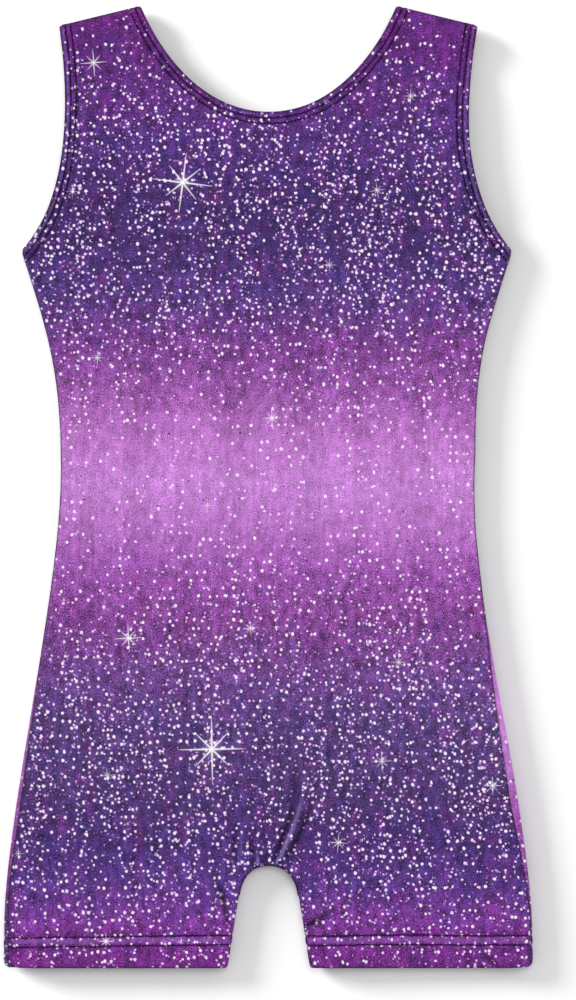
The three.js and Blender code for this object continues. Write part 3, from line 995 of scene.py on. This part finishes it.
def needle_row(name, edge, offset, sides, thread):
    """Single needle stitches round an opening, each sunk at its ends, on both layers."""
    reach = np.linspace(-0.46, 0.46, len(DIP))
    parts = []
    for face in (FRONT, BACK):
        for side in sides:
            run = inside_run(face, edge, offset, side)
            along = lengths(run)
            count = round(along[-1] / STITCH)
            at = (np.arange(count)[:, None] + 0.5 + reach) * along[-1] / count
            jitter = [random.uniform(-0.12, 0.12) for _ in range(count)]
            flat = sampled(run, along, at).reshape(-1, 2)
            into = sampled(normals_of(run), along, at).reshape(-1, 2)
            aside = np.repeat(jitter, len(DIP)) + wander(flat)
            depth = np.tile(DIP, count) + GROOVE_DEPTH * 0.6 - THREAD / 2
            points, _ = place(face, flat + into * aside[:, None], depth)
            for stitch in points.reshape(count, len(DIP), 3):
                parts.append(tube(stitch, THREAD / 2000 * SWELL))
    return make_piece(name, "thread", *gathered(parts), (thread,))


def ribbed(ribs):
    """Distances across a ribbed band, and the height of its ribs at each."""
    (start, end), count, height = ribs
    return np.linspace(start, end, count), height * np.cos(np.arange(count) * math.pi)


def elastic_band(name, edge, sides, rubber):
    """A ribbed elastic inside a turned edge, on both layers."""
    across, ribs = ribbed(ELASTIC_RIBS)
    parts = []
    for face in (FRONT, BACK):
        for side in sides:
            runs = [inside_run(face, edge, offset, side) for offset in across]
            columns = min(len(run) for run in runs)
            rows = []
            for run, rib in zip(runs, ribs):
                along = lengths(run)
                points = sampled(run, along, np.linspace(0, along[-1], columns))
                rows.append(place(face, points, CLOTH + 0.1 + rib)[0])
            parts.append((np.vstack(rows), grid_faces(len(across), columns, face == BACK)))
    piece = make_piece(name, "elastic", *gathered(parts), (rubber, rubber))
    return thicken(piece, ELASTIC_THICKNESS)


def overlock(name, base, thread, face=FRONT, width=ALLOWANCE, depth=2.3):
    """Two straight rows of chain and the loops that wrap the raw edges of a seam."""
    into = normals_of(base)
    radius = THREAD / 2600
    parts = []
    for offset, deep in ((0.9, depth - 0.9), (width * 0.55, depth)):
        parts.append(tube(place(face, base + into * offset, deep)[0], radius, 5))
    swing = np.resize(LOOP_SWING, len(base))
    deep = depth + np.resize(LOOP_DEPTH, len(base))
    loops, _ = place(face, base + into * (width * swing)[:, None], deep)
    parts.append(tube(loops, radius, 5))
    return make_piece(name, "thread", *gathered(parts), (thread,))


def trimmed(run, start, end):
    """A run without its first and last stretch."""
    along = lengths(run)
    return run[(along >= start) & (along <= along[-1] - end)]


def seam_pieces(thread, tape):
    """The overlocked seams, and the tapes in those of the shoulders."""
    edges = {name: spaced(half_of[FRONT][name], 0.75) for name in ("side", "inseam", "shoulder")}
    legs = edges["inseam"][edges["inseam"][:, 1] < ARCH_FOOT[1] - 1]
    for side, hand in SIDES:
        turn = mirrored if side < 0 else np.array
        overlock(f"{hand}_side_seam", trimmed(to_front(turn(edges["side"])), 6, 6), thread)
        overlock(f"{hand}_inseam", turn(trimmed(legs, 0, 5)), thread)
        top = turn(trimmed(edges["shoulder"], 4, 4))
        overlock(f"{hand}_shoulder_seam", top, thread)
        stay_tape(f"{hand}_shoulder_tape", top, tape)
    arch = half_of[FRONT]["inseam"]
    arch = arch[arch[:, 1] > ARCH_FOOT[1] + 1]
    whole = spaced(joined(mirrored(arch), arch), 0.75)
    for face, word in ((FRONT, "front"), (BACK, "back")):
        overlock(f"{word}_gusset_seam", whole, thread, face, width=3.2, depth=1.9)


def stay_tape(name, base, tape):
    """Clear tape that keeps a shoulder seam from stretching."""
    into = normals_of(base)
    rows = [place(FRONT, base + into * a, 1.25 + rib)[0] for a, rib in zip(*ribbed(TAPE_RIBS))]
    return grid_piece(name, "stay_tape", rows, (tape, tape), TAPE_THICKNESS)


def gusset_piece(materials):
    """The lens of cloth that stands round the arch between the two panels."""
    arch = half_of[FRONT]["inseam"]
    arch = arch[arch[:, 1] > ARCH_FOOT[1] - 5]
    run = spaced(joined(mirrored(arch), arch), 1.2)
    into = normals_of(run)
    half = gusset_half(run)
    rows, flat = [], []
    levels = np.linspace(-1, 1, 15)
    for level in levels:
        bulge = 0.15 + 0.75 * (1 - level**2) * half / (GUSSET_WIDTH / 2)
        points = run - into * bulge[:, None]
        height = SEAM_LEVEL + level * (half + 0.3)
        spot = np.column_stack([points * PATTERN_SCALE, height])
        spot[:, 0] += lean(points)
        spot[:, 1] += PATTERN_FOOT
        rows.append(spot / 1000)
        flat.append(np.column_stack([lengths(run), level * half + GUSSET_CUT]))
    # Painted shade over the whole gusset, deep in the arch.
    painted_shade = np.full(len(levels) * len(run), 0.6)
    return grid_piece("crotch_gusset", "back_fabric", rows, materials, CLOTH, flat, painted_shade)


def lining_piece(jersey):
    """A soft patch that lies inside on the back panel, over the crotch."""
    rows, flat = [], []
    climb = np.linspace(0, 1, 40)
    across = np.linspace(-1, 1, 46)
    for c in climb:
        half = LINING_HALF + LINING_FLARE * c - 2 * math.sin(math.pi * c)
        height = LINING_FOOT + LINING_HEIGHT * c
        points = np.column_stack([across * half, np.full(len(across), height)])
        lift = 0.35 + 0.5 * np.abs(waves(points, 14, 4.4)) + 0.25 * np.abs(waves(points, 5, 2.2))
        placed, _ = place(BACK, points, CLOTH + 0.5 + lift)
        rows.append(placed)
        flat.append(points)
    materials = (jersey, jersey)
    name = "crotch_lining"
    return grid_piece(name, "lining_fabric", rows, materials, LINING_THICKNESS, flat)


def label_piece(satin):
    """A folded satin label held in the left side seam; it droops to the back panel."""
    rows, flat = [], []
    along = np.linspace(*LABEL_SPAN, 24)
    for s in np.linspace(0, 1, 37):
        out = 1 - abs(2 * s - 1)
        gap = 0.25 + 0.55 * math.sin(math.pi * min(out * 1.1, 1))
        over = gap if s > 0.5 else -gap
        over *= min(1, (1 - out) * 5)
        x = np.array([side_edge(y) for y in along]) - LABEL_INSET - LABEL_REACH * out
        droop = 3.0 * ease(out, 0, 1) + 0.35 * np.sin(along / 30 * 5 + out * 2) * out
        height = SEAM_LEVEL - droop + over
        spot = np.column_stack([x * PATTERN_SCALE, along * PATTERN_SCALE + PATTERN_FOOT, height])
        rows.append(spot / 1000)
        flat.append(np.column_stack([np.full(len(along), s * 2 * LABEL_REACH), along]))
    return grid_piece("care_label", "label_satin", rows, (satin, satin), LABEL_THICKNESS, flat)


# ---- Materials ------------------------------------------------------------------------------


def tone(red, green, blue):
    """A screen colour, 0 to 255, as the linear colour that shaders use."""
    values = []
    for part in (red, green, blue):
        part /= 255
        values.append(part / 12.92 if part <= 0.04045 else ((part + 0.055) / 1.055) ** 2.4)
    return (*values, 1)


class Nodes:
    """A node tree and short ways to add nodes to it."""

    def __init__(self, tree):
        self.tree = tree

    def put(self, socket, value):
        if isinstance(value, bpy.types.NodeSocket):
            self.tree.links.new(value, socket)
        elif value is not None:
            socket.default_value = value

    def add(self, kind, inputs=(), output=0, **settings):
        """Adds a node; inputs are in order, or in a table by number or name."""
        node = self.tree.nodes.new(kind)
        for key, value in settings.items():
            setattr(node, key, value)
        pairs = inputs.items() if isinstance(inputs, dict) else enumerate(inputs)
        for key, value in pairs:
            self.put(node.inputs[key], value)
        return node.outputs[output]

    def math(self, operation, *values, clamp=False):
        return self.add("ShaderNodeMath", values, operation=operation, use_clamp=clamp)

    def times(self, *values, clamp=False):
        return self.math("MULTIPLY", *values, clamp=clamp)

    def scaled(self, value, by, plus):
        """A value times another, plus a third."""
        return self.math("MULTIPLY_ADD", value, by, plus)

    def vector(self, operation, *values):
        return self.add("ShaderNodeVectorMath", values, operation=operation)

    def parts(self, vector):
        return self.add("ShaderNodeSeparateXYZ", (vector,)).node.outputs


class Shader(Nodes):
    """A material and short ways to add nodes to it."""

    def __init__(self, name, roughness=0.6, **settings):
        self.material = bpy.data.materials.new(name)
        self.material.use_nodes = True
        super().__init__(self.material.node_tree)
        self.surface = self.tree.nodes["Principled BSDF"]
        self.surface.inputs["Roughness"].default_value = roughness
        for socket, value in settings.items():
            self.surface.inputs[socket.replace("_", " ")].default_value = value

    def flat(self):
        """Place on the flat cloth, in millimetres."""
        uv = self.add("ShaderNodeUVMap", uv_map="print")
        return self.vector("MULTIPLY", uv, (1000, 1000, 0))

    def room(self):
        """Place in the frame, in millimetres."""
        place = self.add("ShaderNodeTexCoord").node.outputs["Object"]
        return self.vector("MULTIPLY", place, (1000, 1000, 1000))

    def mix(self, factor, a, b, blend="MIX"):
        inputs = {0: factor, 6: a, 7: b}
        return self.add("ShaderNodeMix", inputs, 2, data_type="RGBA", blend_type=blend)

    def noise(self, place, size, detail=2.0, rough=0.5):
        """Random tone from about 0.3 to 0.7; size is the width and height of its blots."""
        per_blot = [1 / side for side in size] + [1] * (3 - len(size))
        scaled = self.vector("MULTIPLY", place, per_blot)
        inputs = {"Vector": scaled, "Scale": 1, "Detail": detail, "Roughness": rough}
        return self.add("ShaderNodeTexNoise", inputs)

    def spread(self, value, low, high, to_low=0.0, to_high=1.0, smooth=True):
        """A value between two limits as one between two others, or 0 and 1."""
        inputs = (value, low, high, to_low, to_high)
        kind = "SMOOTHSTEP" if smooth else "LINEAR"
        return self.add("ShaderNodeMapRange", inputs, interpolation_type=kind)

    def ramp(self, factor, stops):
        ramp = self.add("ShaderNodeValToRGB", (factor,))
        points = ramp.node.color_ramp.elements
        while len(points) < len(stops):
            points.new(1)
        for point, (spot, colour) in zip(points, stops):
            point.position = spot
            point.color = colour
        return ramp

    def bump(self, height, strength, distance):
        inputs = {"Strength": strength, "Distance": distance / 1000, "Height": height}
        self.put(self.surface.inputs["Normal"], self.add("ShaderNodeBump", inputs))

    def colour(self, value):
        self.put(self.surface.inputs["Base Color"], value)

    def rough(self, value):
        self.put(self.surface.inputs["Roughness"], value)


# The dye along the garment: height over the hems in millimetres, and colour.
OMBRE = (
    (0, (116, 42, 126)), (12, (117, 45, 130)), (28, (120, 56, 142)), (50, (86, 53, 126)),
    (72, (71, 46, 108)), (101, (74, 52, 105)), (144, (85, 61, 117)), (173, (110, 68, 134)),
    (202, (134, 69, 142)), (231, (155, 84, 169)), (261, (178, 111, 193)), (282, (188, 123, 204)),
    (304, (181, 113, 194)), (333, (152, 85, 163)), (362, (127, 66, 140)), (377, (103, 59, 129)),
    (391, (84, 55, 120)), (421, (67, 45, 102)), (450, (65, 42, 99)), (479, (80, 48, 117)),
    (508, (94, 46, 121)), (537, (99, 40, 118)), (560, (107, 40, 122)),
)
# How crowded the dots are along the garment: height in millimetres, and share.
CROWD = (
    (0, 0.75), (40, 0.95), (90, 1.15), (150, 1.15), (200, 0.9), (245, 0.5), (320, 0.45),
    (356, 0.85), (385, 1.1), (420, 1.25), (470, 1.1), (505, 0.9), (530, 0.6), (560, 0.3),
)
ORCHID_HEIGHT = 282
BACK_SHIFT = 143
GLOW = tone(255, 250, 255)
DYE_DEPTH = 1.13
RIB_WIDTH = 0.95
# How strong the painted shade is, how strong the painted highlight on the tops of folds is, and the
# lightest that painted light makes the cloth.
PAINTED_SHADE_DEPTH = 0.72
PAINTED_FOLD_HIGHLIGHT = 0.33
LIGHTEST = 1.25

# Painted sparkles: x and height in millimetres, reach of the rays, turn in degrees, strength.
SPARKLES = (
    (-49.9, 456.5, 17.5, -7, 1.0), (-33.0, 127.4, 19.5, 1, 1.0),
    (-81.1, 191.9, 8.5, 3, 0.9), (-101.3, 526.3, 8.0, 4, 0.85),
    (83.6, 506.8, 4.6, 0, 0.65), (64.2, 452.0, 5.0, 8, 0.6), (1.9, 319.8, 5.5, 2, 0.85),
    (-99.1, 354.8, 4.6, 0, 0.7), (-10.6, 197.7, 4.8, 5, 0.7), (77.2, 178.0, 4.8, 0, 0.65),
    (66.4, 120.4, 6.5, 3, 0.6), (131.0, 106.2, 5.5, 0, 0.8), (40.5, 73.1, 6.0, -4, 0.7),
    (-93.4, 112.2, 4.8, 6, 0.55), (-145.0, 66.7, 4.0, 0, 0.5), (35.6, 408.6, 4.2, 0, 0.6),
    (-94.2, 15.8, 5.0, 0, 0.9), (-113.6, 451.4, 4.5, 0, 0.35), (-35.6, 269.0, 4.2, 0, 0.5),
)


def sparkle_group():
    """A node group: the brightness of an eight-rayed sparkle of reach 1 about the origin."""
    tree = bpy.data.node_groups.new("sparkle", "ShaderNodeTree")
    tree.interface.new_socket("Place", in_out="INPUT", socket_type="NodeSocketVector")
    tree.interface.new_socket("Half width", in_out="INPUT", socket_type="NodeSocketFloat")
    tree.interface.new_socket("Light", in_out="OUTPUT", socket_type="NodeSocketFloat")
    place, width = tree.nodes.new("NodeGroupInput").outputs[:2]
    nodes = Nodes(tree)
    x, y, _ = nodes.parts(nodes.vector("ABSOLUTE", place))

    def ray(along, beside, reach):
        """A ray that narrows and fades towards its tip."""
        left = nodes.math("SUBTRACT", 1.0, nodes.math("DIVIDE", along, reach), clamp=True)
        half = nodes.times(nodes.scaled(left, 0.6, 0.4), width)
        edge = nodes.math("SUBTRACT", 1.0, nodes.math("DIVIDE", beside, half), clamp=True)
        return nodes.times(nodes.math("POWER", edge, 0.5), nodes.math("POWER", left, 0.25))

    along = nodes.times(nodes.math("ADD", x, y), 0.7071)
    beside = nodes.times(nodes.math("ABSOLUTE", nodes.math("SUBTRACT", x, y)), 0.7071)
    straight = nodes.math("MAXIMUM", ray(x, y, 1.0), ray(y, x, 1.0))
    slanting = ray(along, beside, 0.72)
    away = nodes.math("SQRT", nodes.math("ADD", nodes.math("POWER", x, 2), nodes.math("POWER", y, 2)))
    core = nodes.math("SUBTRACT", 2.2, nodes.math("DIVIDE", away, width), clamp=True)
    halo = nodes.math("SUBTRACT", 1.0, nodes.times(away, 2.6), clamp=True)
    halo = nodes.times(nodes.math("POWER", halo, 2), 0.3)
    light = nodes.math("MAXIMUM", core, nodes.math("MAXIMUM", straight, slanting))
    light = nodes.math("MAXIMUM", light, halo)
    tree.links.new(light, tree.nodes.new("NodeGroupOutput").inputs[0])
    return tree


def speckles(shader, flat, cell, small, large, share, shift):
    """Round dots at random: their cover, and a random number for each. Sizes are radii."""
    stir = shader.noise(flat, (2.6, 2.6), 1)
    stir = shader.add("ShaderNodeCombineXYZ", (stir, shader.times(stir, -1.4), 0.0))
    moved = shader.vector("MULTIPLY_ADD", stir, (0.5, 0.5, 0), flat)
    inputs = {"Vector": moved, "Angle": shift}
    moved = shader.add("ShaderNodeVectorRotate", inputs, rotation_type="Z_AXIS")
    scale = (1 / cell, 0.9 / cell, 0)
    moved = shader.vector("MULTIPLY_ADD", moved, scale, (shift, shift * 0.7, 0))
    node = shader.tree.nodes.new("ShaderNodeTexVoronoi")
    node.voronoi_dimensions = "2D"
    for socket, value in (("Scale", 1), ("Randomness", 1), ("Vector", moved)):
        shader.put(node.inputs[socket], value)
    chance = shader.add("ShaderNodeSeparateColor", (node.outputs["Color"],)).node.outputs
    radius = shader.scaled(chance[0], (large - small) / cell, small / cell)
    edge = shader.math("SUBTRACT", radius, node.outputs["Distance"])
    cover = shader.times(edge, cell / 0.34, clamp=True)
    there = shader.math("LESS_THAN", chance[1], share)
    return shader.times(cover, there), chance[2]


def dyed(shader, flat, shift):
    """The ombre with its blots, how far each place is from the light band, 0 to 1, and how
    crowded the dots are there."""
    height = shader.parts(flat)[1]
    stir = shader.noise(flat, (22, 60), 3)
    height = shader.scaled(shader.math("SUBTRACT", stir, 0.5), 30, height)
    turn = shader.math("FRACT", shader.scaled(height, 1 / LENGTH, shift / LENGTH))
    dye = shader.ramp(turn, [(at / LENGTH, tone(*colour)) for at, colour in OMBRE])
    away = shader.math("ABSOLUTE", shader.math("SUBTRACT", turn, ORCHID_HEIGHT / LENGTH))
    dark = shader.spread(away, 18 / LENGTH, 88 / LENGTH)
    blots = shader.spread(shader.noise(flat, (9, 13), 4, 0.65), 0.46, 0.70)
    blots = shader.times(blots, shader.scaled(dark, 0.22, 0.06))
    dye = shader.mix(blots, dye, tone(142, 34, 132))
    moved = shader.vector("ADD", flat, (411, 97, 0))
    blues = shader.spread(shader.noise(moved, (10, 19), 4, 0.65), 0.47, 0.72)
    blues = shader.times(blues, shader.times(dark, 0.42))
    crowd = shader.ramp(turn, [(at / LENGTH, (share, share, share, 1)) for at, share in CROWD])
    return shader.mix(blues, dye, tone(48, 46, 122)), dark, crowd


def knitted(shader, flat, dye, dark):
    """The dye broken up by the grain of the knit and by long faint streaks."""
    depth = shader.scaled(dark, 0.58, 0.42)
    fine = shader.spread(shader.noise(flat, (0.62, 0.85), 1, 0.7), 0.3, 0.7, -1.2, 1.2, False)
    coarse = shader.spread(shader.noise(flat, (4.2, 7.5), 3, 0.6), 0.3, 0.7, -0.6, 0.6, False)
    grain = shader.scaled(shader.math("ADD", fine, coarse), depth, 1.0)
    streak = shader.spread(shader.noise(flat, (1.6, 34), 2, 0.6), 0.3, 0.7, 0.88, 1.12, False)
    band = shader.spread(shader.noise(flat, (19, 210), 2, 0.5), 0.35, 0.65, 0.9, 1.1, False)
    shade = shader.times(shader.times(grain, streak), band)
    depth = shader.scaled(dark, -0.14 * DYE_DEPTH, DYE_DEPTH)
    shade = shader.math("MAXIMUM", shader.times(shade, depth), 0.12)
    cool = shader.times(shade, shader.scaled(dark, 0.12, 0.97))
    tint = shader.add("ShaderNodeCombineColor", (shade, shade, cool))
    return shader.mix(1.0, dye, tint, "MULTIPLY")


def dotted(shader, flat, dye, share):
    """The dye under its dots, and the cover of the foil dots alone."""
    columns = shader.noise(flat, (13, 75), 2, 0.55)
    crowd = shader.times(shader.spread(columns, 0.36, 0.64, 0.45, 1.25), share)

    def layer(cell, small, large, often, shift, strength, ink, other):
        nonlocal dye
        part = shader.times(crowd, often)
        cover, pick = speckles(shader, flat, cell, small, large, part, shift)
        colour = shader.mix(pick, tone(*ink), tone(*other))
        dye = shader.mix(shader.times(cover, strength), dye, colour)
        return cover

    layer(2.3, 0.24, 0.46, 0.4, 3.3, 0.55, (132, 84, 180), (206, 142, 222))
    layer(6.1, 0.4, 0.8, 0.2, 7.7, 0.85, (26, 18, 66), (40, 28, 84))
    layer(4.3, 0.4, 0.75, 0.3, 1.9, 0.75, (176, 84, 176), (214, 138, 226))
    foil = layer(3.2, 0.42, 0.72, 0.46, 6.6, 0.85, (176, 128, 214), (228, 186, 242))
    mids = layer(4.1, 0.62, 0.92, 0.46, 5.1, 1.0, (214, 172, 238), (248, 220, 252))
    large = layer(4.2, 0.76, 1.1, 0.47, 9.4, 1.0, (240, 208, 250), (254, 238, 254))
    return dye, shader.math("MAXIMUM", foil, shader.math("MAXIMUM", mids, large))


def sparkling(shader, flat, sparkle):
    """The light of all sparkles."""
    light = 0.0
    for x, up, reach, turned, strength in SPARKLES:
        local = shader.add(
            "ShaderNodeMapping",
            (flat, (x, up, 0), (0, 0, math.radians(turned)), (reach, reach, 1)),
            vector_type="TEXTURE",
        )
        group = shader.tree.nodes.new("ShaderNodeGroup")
        group.node_tree = sparkle
        shader.put(group.inputs[0], local)
        shader.put(group.inputs[1], (0.26 + 0.027 * reach) / reach)
        light = shader.scaled(group.outputs[0], strength, light)
    return shader.math("MINIMUM", light, 1.0)


def printed_cloth(name, shift, sparkle):
    """Stretch knit printed with an ombre, blots of dye, foil dots and sparkles."""
    shader = Shader(name, Specular_IOR_Level=0.12)
    flat = shader.flat()
    dye, dark, crowd = dyed(shader, flat, shift)
    dye = knitted(shader, flat, dye, dark)
    dye, foil = dotted(shader, flat, dye, crowd)
    light = sparkling(shader, flat, sparkle)
    dye = shader.mix(light, dye, GLOW)

    # Painted shade where the cloth is turned over an edge, in fold valleys and along stitch rows, and
    # painted highlight on fold ridges and on the bands beside the stitches.
    painted_shade = shader.add("ShaderNodeAttribute", attribute_name="painted_shade", output=2)
    # Painted highlight: the tops of folds are mixed towards pale lilac.
    painted_sheen = shader.times(painted_shade, -PAINTED_FOLD_HIGHLIGHT, clamp=True)
    dye = shader.mix(painted_sheen, dye, tone(186, 168, 226))
    # Painted shade darkens the print; below 0 it brightens it as painted highlight.
    shade = shader.scaled(painted_shade, -PAINTED_SHADE_DEPTH, 1.0)
    shade = shader.math("MINIMUM", shade, LIGHTEST)
    tint = shader.add("ShaderNodeCombineColor", (shade, shade, shade))
    shader.colour(shader.mix(1.0, dye, tint, "MULTIPLY"))

    shine = shader.math("MAXIMUM", foil, light)
    shader.rough(shader.spread(shine, 0, 1, 0.62, 0.4))
    rib = shader.times(shader.parts(flat)[0], 2 * math.pi / RIB_WIDTH)
    rib = shader.math("SINE", rib)
    rib = shader.scaled(rib, 0.35, shader.noise(flat, (0.7, 1.3), 2, 0.6))
    shader.bump(shader.scaled(foil, 0.4, rib), 0.35, 0.12)
    return shader.material


def wrong_side():
    """The unprinted inner face of the knit, with a little of the print showing through."""
    shader = Shader("wrong_side", 0.8, Sheen_Weight=0.2)
    flat = shader.flat()
    show = shader.noise(flat, (26, 48), 3)
    base = shader.mix(shader.spread(show, 0.3, 0.7), tone(196, 178, 214), tone(222, 210, 232))
    grain = shader.noise(flat, (0.5, 1.2), 2, 0.6)
    shader.colour(shader.mix(shader.spread(grain, 0.3, 0.7, 0, 0.35), base, tone(168, 150, 190)))
    shader.bump(grain, 0.4, 0.15)
    return shader.material


def thread_material():
    """Dark violet sewing thread with a twist."""
    shader = Shader("thread", 0.6, Specular_IOR_Level=0.1)
    spot = shader.room()
    twist = shader.noise(spot, (0.25, 0.25, 0.25), 1)
    worn = shader.noise(spot, (9, 9, 9), 2)
    base = shader.mix(shader.spread(worn, 0.35, 0.65), tone(18, 8, 40), tone(32, 14, 58))
    shader.colour(shader.mix(shader.spread(twist, 0.35, 0.65, 0, 0.25), base, tone(70, 40, 104)))
    shader.bump(twist, 0.5, 0.1)
    return shader.material


def elastic_material():
    """Woven white elastic."""
    shader = Shader("elastic", 0.7)
    spot = shader.room()
    weave = shader.noise(spot, (0.3, 0.9, 0.3), 2)
    shade = shader.noise(spot, (14, 14, 14), 2)
    base = shader.mix(shader.spread(shade, 0.35, 0.65), tone(226, 222, 230), tone(240, 238, 242))
    shader.colour(shader.mix(shader.spread(weave, 0.35, 0.65, 0, 0.3), base, tone(190, 186, 198)))
    shader.bump(weave, 0.4, 0.1)
    return shader.material


def tape_material():
    """Clear stay tape, faintly clouded."""
    shader = Shader("stay_tape", 0.3, Transmission_Weight=0.3)
    spot = shader.room()
    cloud = shader.noise(spot, (5, 5, 5), 3)
    cloudy = shader.spread(cloud, 0.3, 0.7)
    shader.colour(shader.mix(cloudy, tone(214, 219, 224), tone(234, 238, 242)))
    shader.rough(shader.spread(cloud, 0.3, 0.7, 0.25, 0.45))
    shader.bump(shader.noise(spot, (0.6, 0.6, 0.6), 2), 0.2, 0.05)
    return shader.material


def jersey_material():
    """The soft white knit of the lining."""
    shader = Shader("lining_jersey", 0.85, Sheen_Weight=0.3)
    flat = shader.flat()
    loops = shader.noise(flat, (0.5, 0.9), 2, 0.6)
    soft = shader.noise(flat, (12, 12), 3)
    base = shader.mix(shader.spread(soft, 0.35, 0.65), tone(236, 231, 238), tone(246, 243, 247))
    shader.colour(shader.mix(shader.spread(loops, 0.3, 0.7, 0, 0.4), base, tone(206, 200, 212)))
    shader.bump(loops, 0.5, 0.15)
    return shader.material


def satin_material():
    """The woven satin of the care label."""
    shader = Shader("label_satin", 0.32, Sheen_Weight=0.2)
    flat = shader.flat()
    weft = shader.math("SINE", shader.times(shader.parts(flat)[0], 2 * math.pi / 0.6))
    slub = shader.noise(flat, (6, 0.5), 2)
    base = shader.mix(shader.spread(slub, 0.3, 0.7), tone(238, 236, 231), tone(248, 247, 244))
    shader.colour(shader.mix(shader.spread(weft, -1, 1, 0, 0.15), base, tone(214, 212, 208)))
    shader.rough(shader.spread(slub, 0.3, 0.7, 0.26, 0.42))
    shader.bump(weft, 0.2, 0.05)
    return shader.material


# ---- The garment ----------------------------------------------------------------------------

random.seed(11)
sparkle = sparkle_group()
pale = wrong_side()
front_cloth = (printed_cloth("front_print", 0, sparkle), pale)
back_cloth = (printed_cloth("back_print", BACK_SHIFT, sparkle), pale)
thread = thread_material()
rubber = elastic_material()

front = build_panel("front_panel", "front_fabric", FRONT, front_cloth)
back = build_panel("back_panel", "back_fabric", BACK, back_cloth)
gusset = gusset_piece(back_cloth)
lining = lining_piece(jersey_material())
label = label_piece(satin_material())

BOTH = (1, -1)
for row, word in enumerate(("edge", "inner")):
    needle_row(f"neck_{word}_stitches", "neck", EDGE_ROWS[row], BOTH, thread)
    for side, hand in SIDES:
        for edge, offset in (("armhole", EDGE_ROWS[row]), ("hem", HEM_ROWS[row])):
            needle_row(f"{hand}_{edge}_{word}_stitches", edge, offset, (side,), thread)
elastic_band("neck_elastic", "neck", BOTH, rubber)
for side, hand in SIDES:
    elastic_band(f"{hand}_armhole_elastic", "armhole", (side,), rubber)
seam_pieces(thread, tape_material())


# ---- Floor, light and camera ----------------------------------------------------------------


FLOOR_GREY = 0.74
SKY_STRENGTH = 0.71
# Spot and width in metres, and power in watts.
TOP_LAMP = ((0.5, 0.7, 4.0), 2.0, 52)
LOW_LAMP = ((-3.75, 1.88, 1.35), 2.2, 430)
# Where the camera hangs, its height over the garment's middle and how much it takes in, in
# metres.
CAMERA_SPOT = (0.0112, -0.0079)
CAMERA_HEIGHT = 6.0
FIELD = 0.5815
SENSOR = 24
# The least that a side of a sheet may be given as, in metres.
LEAST_SIDE = 0.01


def studio():
    """A white floor and even light from all round, with a soft lamp above the garment and a
    low one on the upper left that lights the floor alone, for its shadow."""
    bpy.ops.mesh.primitive_plane_add(size=24, location=(0, 0, -0.0002))
    floor = bpy.context.object
    floor.name = "floor"
    white = Shader("floor", 0.9, Specular_IOR_Level=0.0)
    white.surface.inputs["Base Color"].default_value = (FLOOR_GREY, FLOOR_GREY, FLOOR_GREY, 1)
    floor.data.materials.append(white.material)

    world = bpy.data.worlds.new("studio")
    world.use_nodes = True
    colour, strength = world.node_tree.nodes["Background"].inputs[:2]
    colour.default_value = (1, 1, 1, 1)
    strength.default_value = SKY_STRENGTH
    bpy.context.scene.world = world

    soft_lamp("top", *TOP_LAMP)
    low = soft_lamp("low", *LOW_LAMP)
    lit = bpy.data.collections.new("floor_alone")
    lit.objects.link(floor)
    low.light_linking.receiver_collection = lit


def soft_lamp(name, spot, size, energy):
    """A round lamp that points at the middle of the garment."""
    light = bpy.data.lights.new(name, "AREA")
    light.shape = "DISK"
    light.size = size
    light.energy = energy
    lamp = bpy.data.objects.new(name, light)
    lamp.location = spot
    lamp.rotation_euler = (-lamp.location).to_track_quat("-Z", "Y").to_euler()
    bpy.context.scene.collection.objects.link(lamp)
    return lamp


def camera():
    """Straight above, through a long lens that takes in the photograph's field."""
    lens = bpy.data.cameras.new("camera")
    lens.sensor_fit = "VERTICAL"
    lens.sensor_height = SENSOR
    lens.lens = SENSOR * CAMERA_HEIGHT / FIELD
    lens.clip_end = 100
    eye = bpy.data.objects.new("camera", lens)
    eye.location = (*CAMERA_SPOT, CAMERA_HEIGHT + SEAM_LEVEL / 1000)
    bpy.context.scene.collection.objects.link(eye)
    bpy.context.scene.camera = eye


studio()
camera()
bpy.context.scene.view_settings.view_transform = "Standard"

for piece, held, rests in (
    (front, "laid", [back]),
    (back, "laid", [gusset]),
    (gusset, "stretched", [front, back]),
    (lining, "laid", [back]),
    (label, "folded", [back]),
):
    size, area = cut_size(piece)
    size = tuple(max(side, LEAST_SIDE) for side in size)
    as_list(rests)
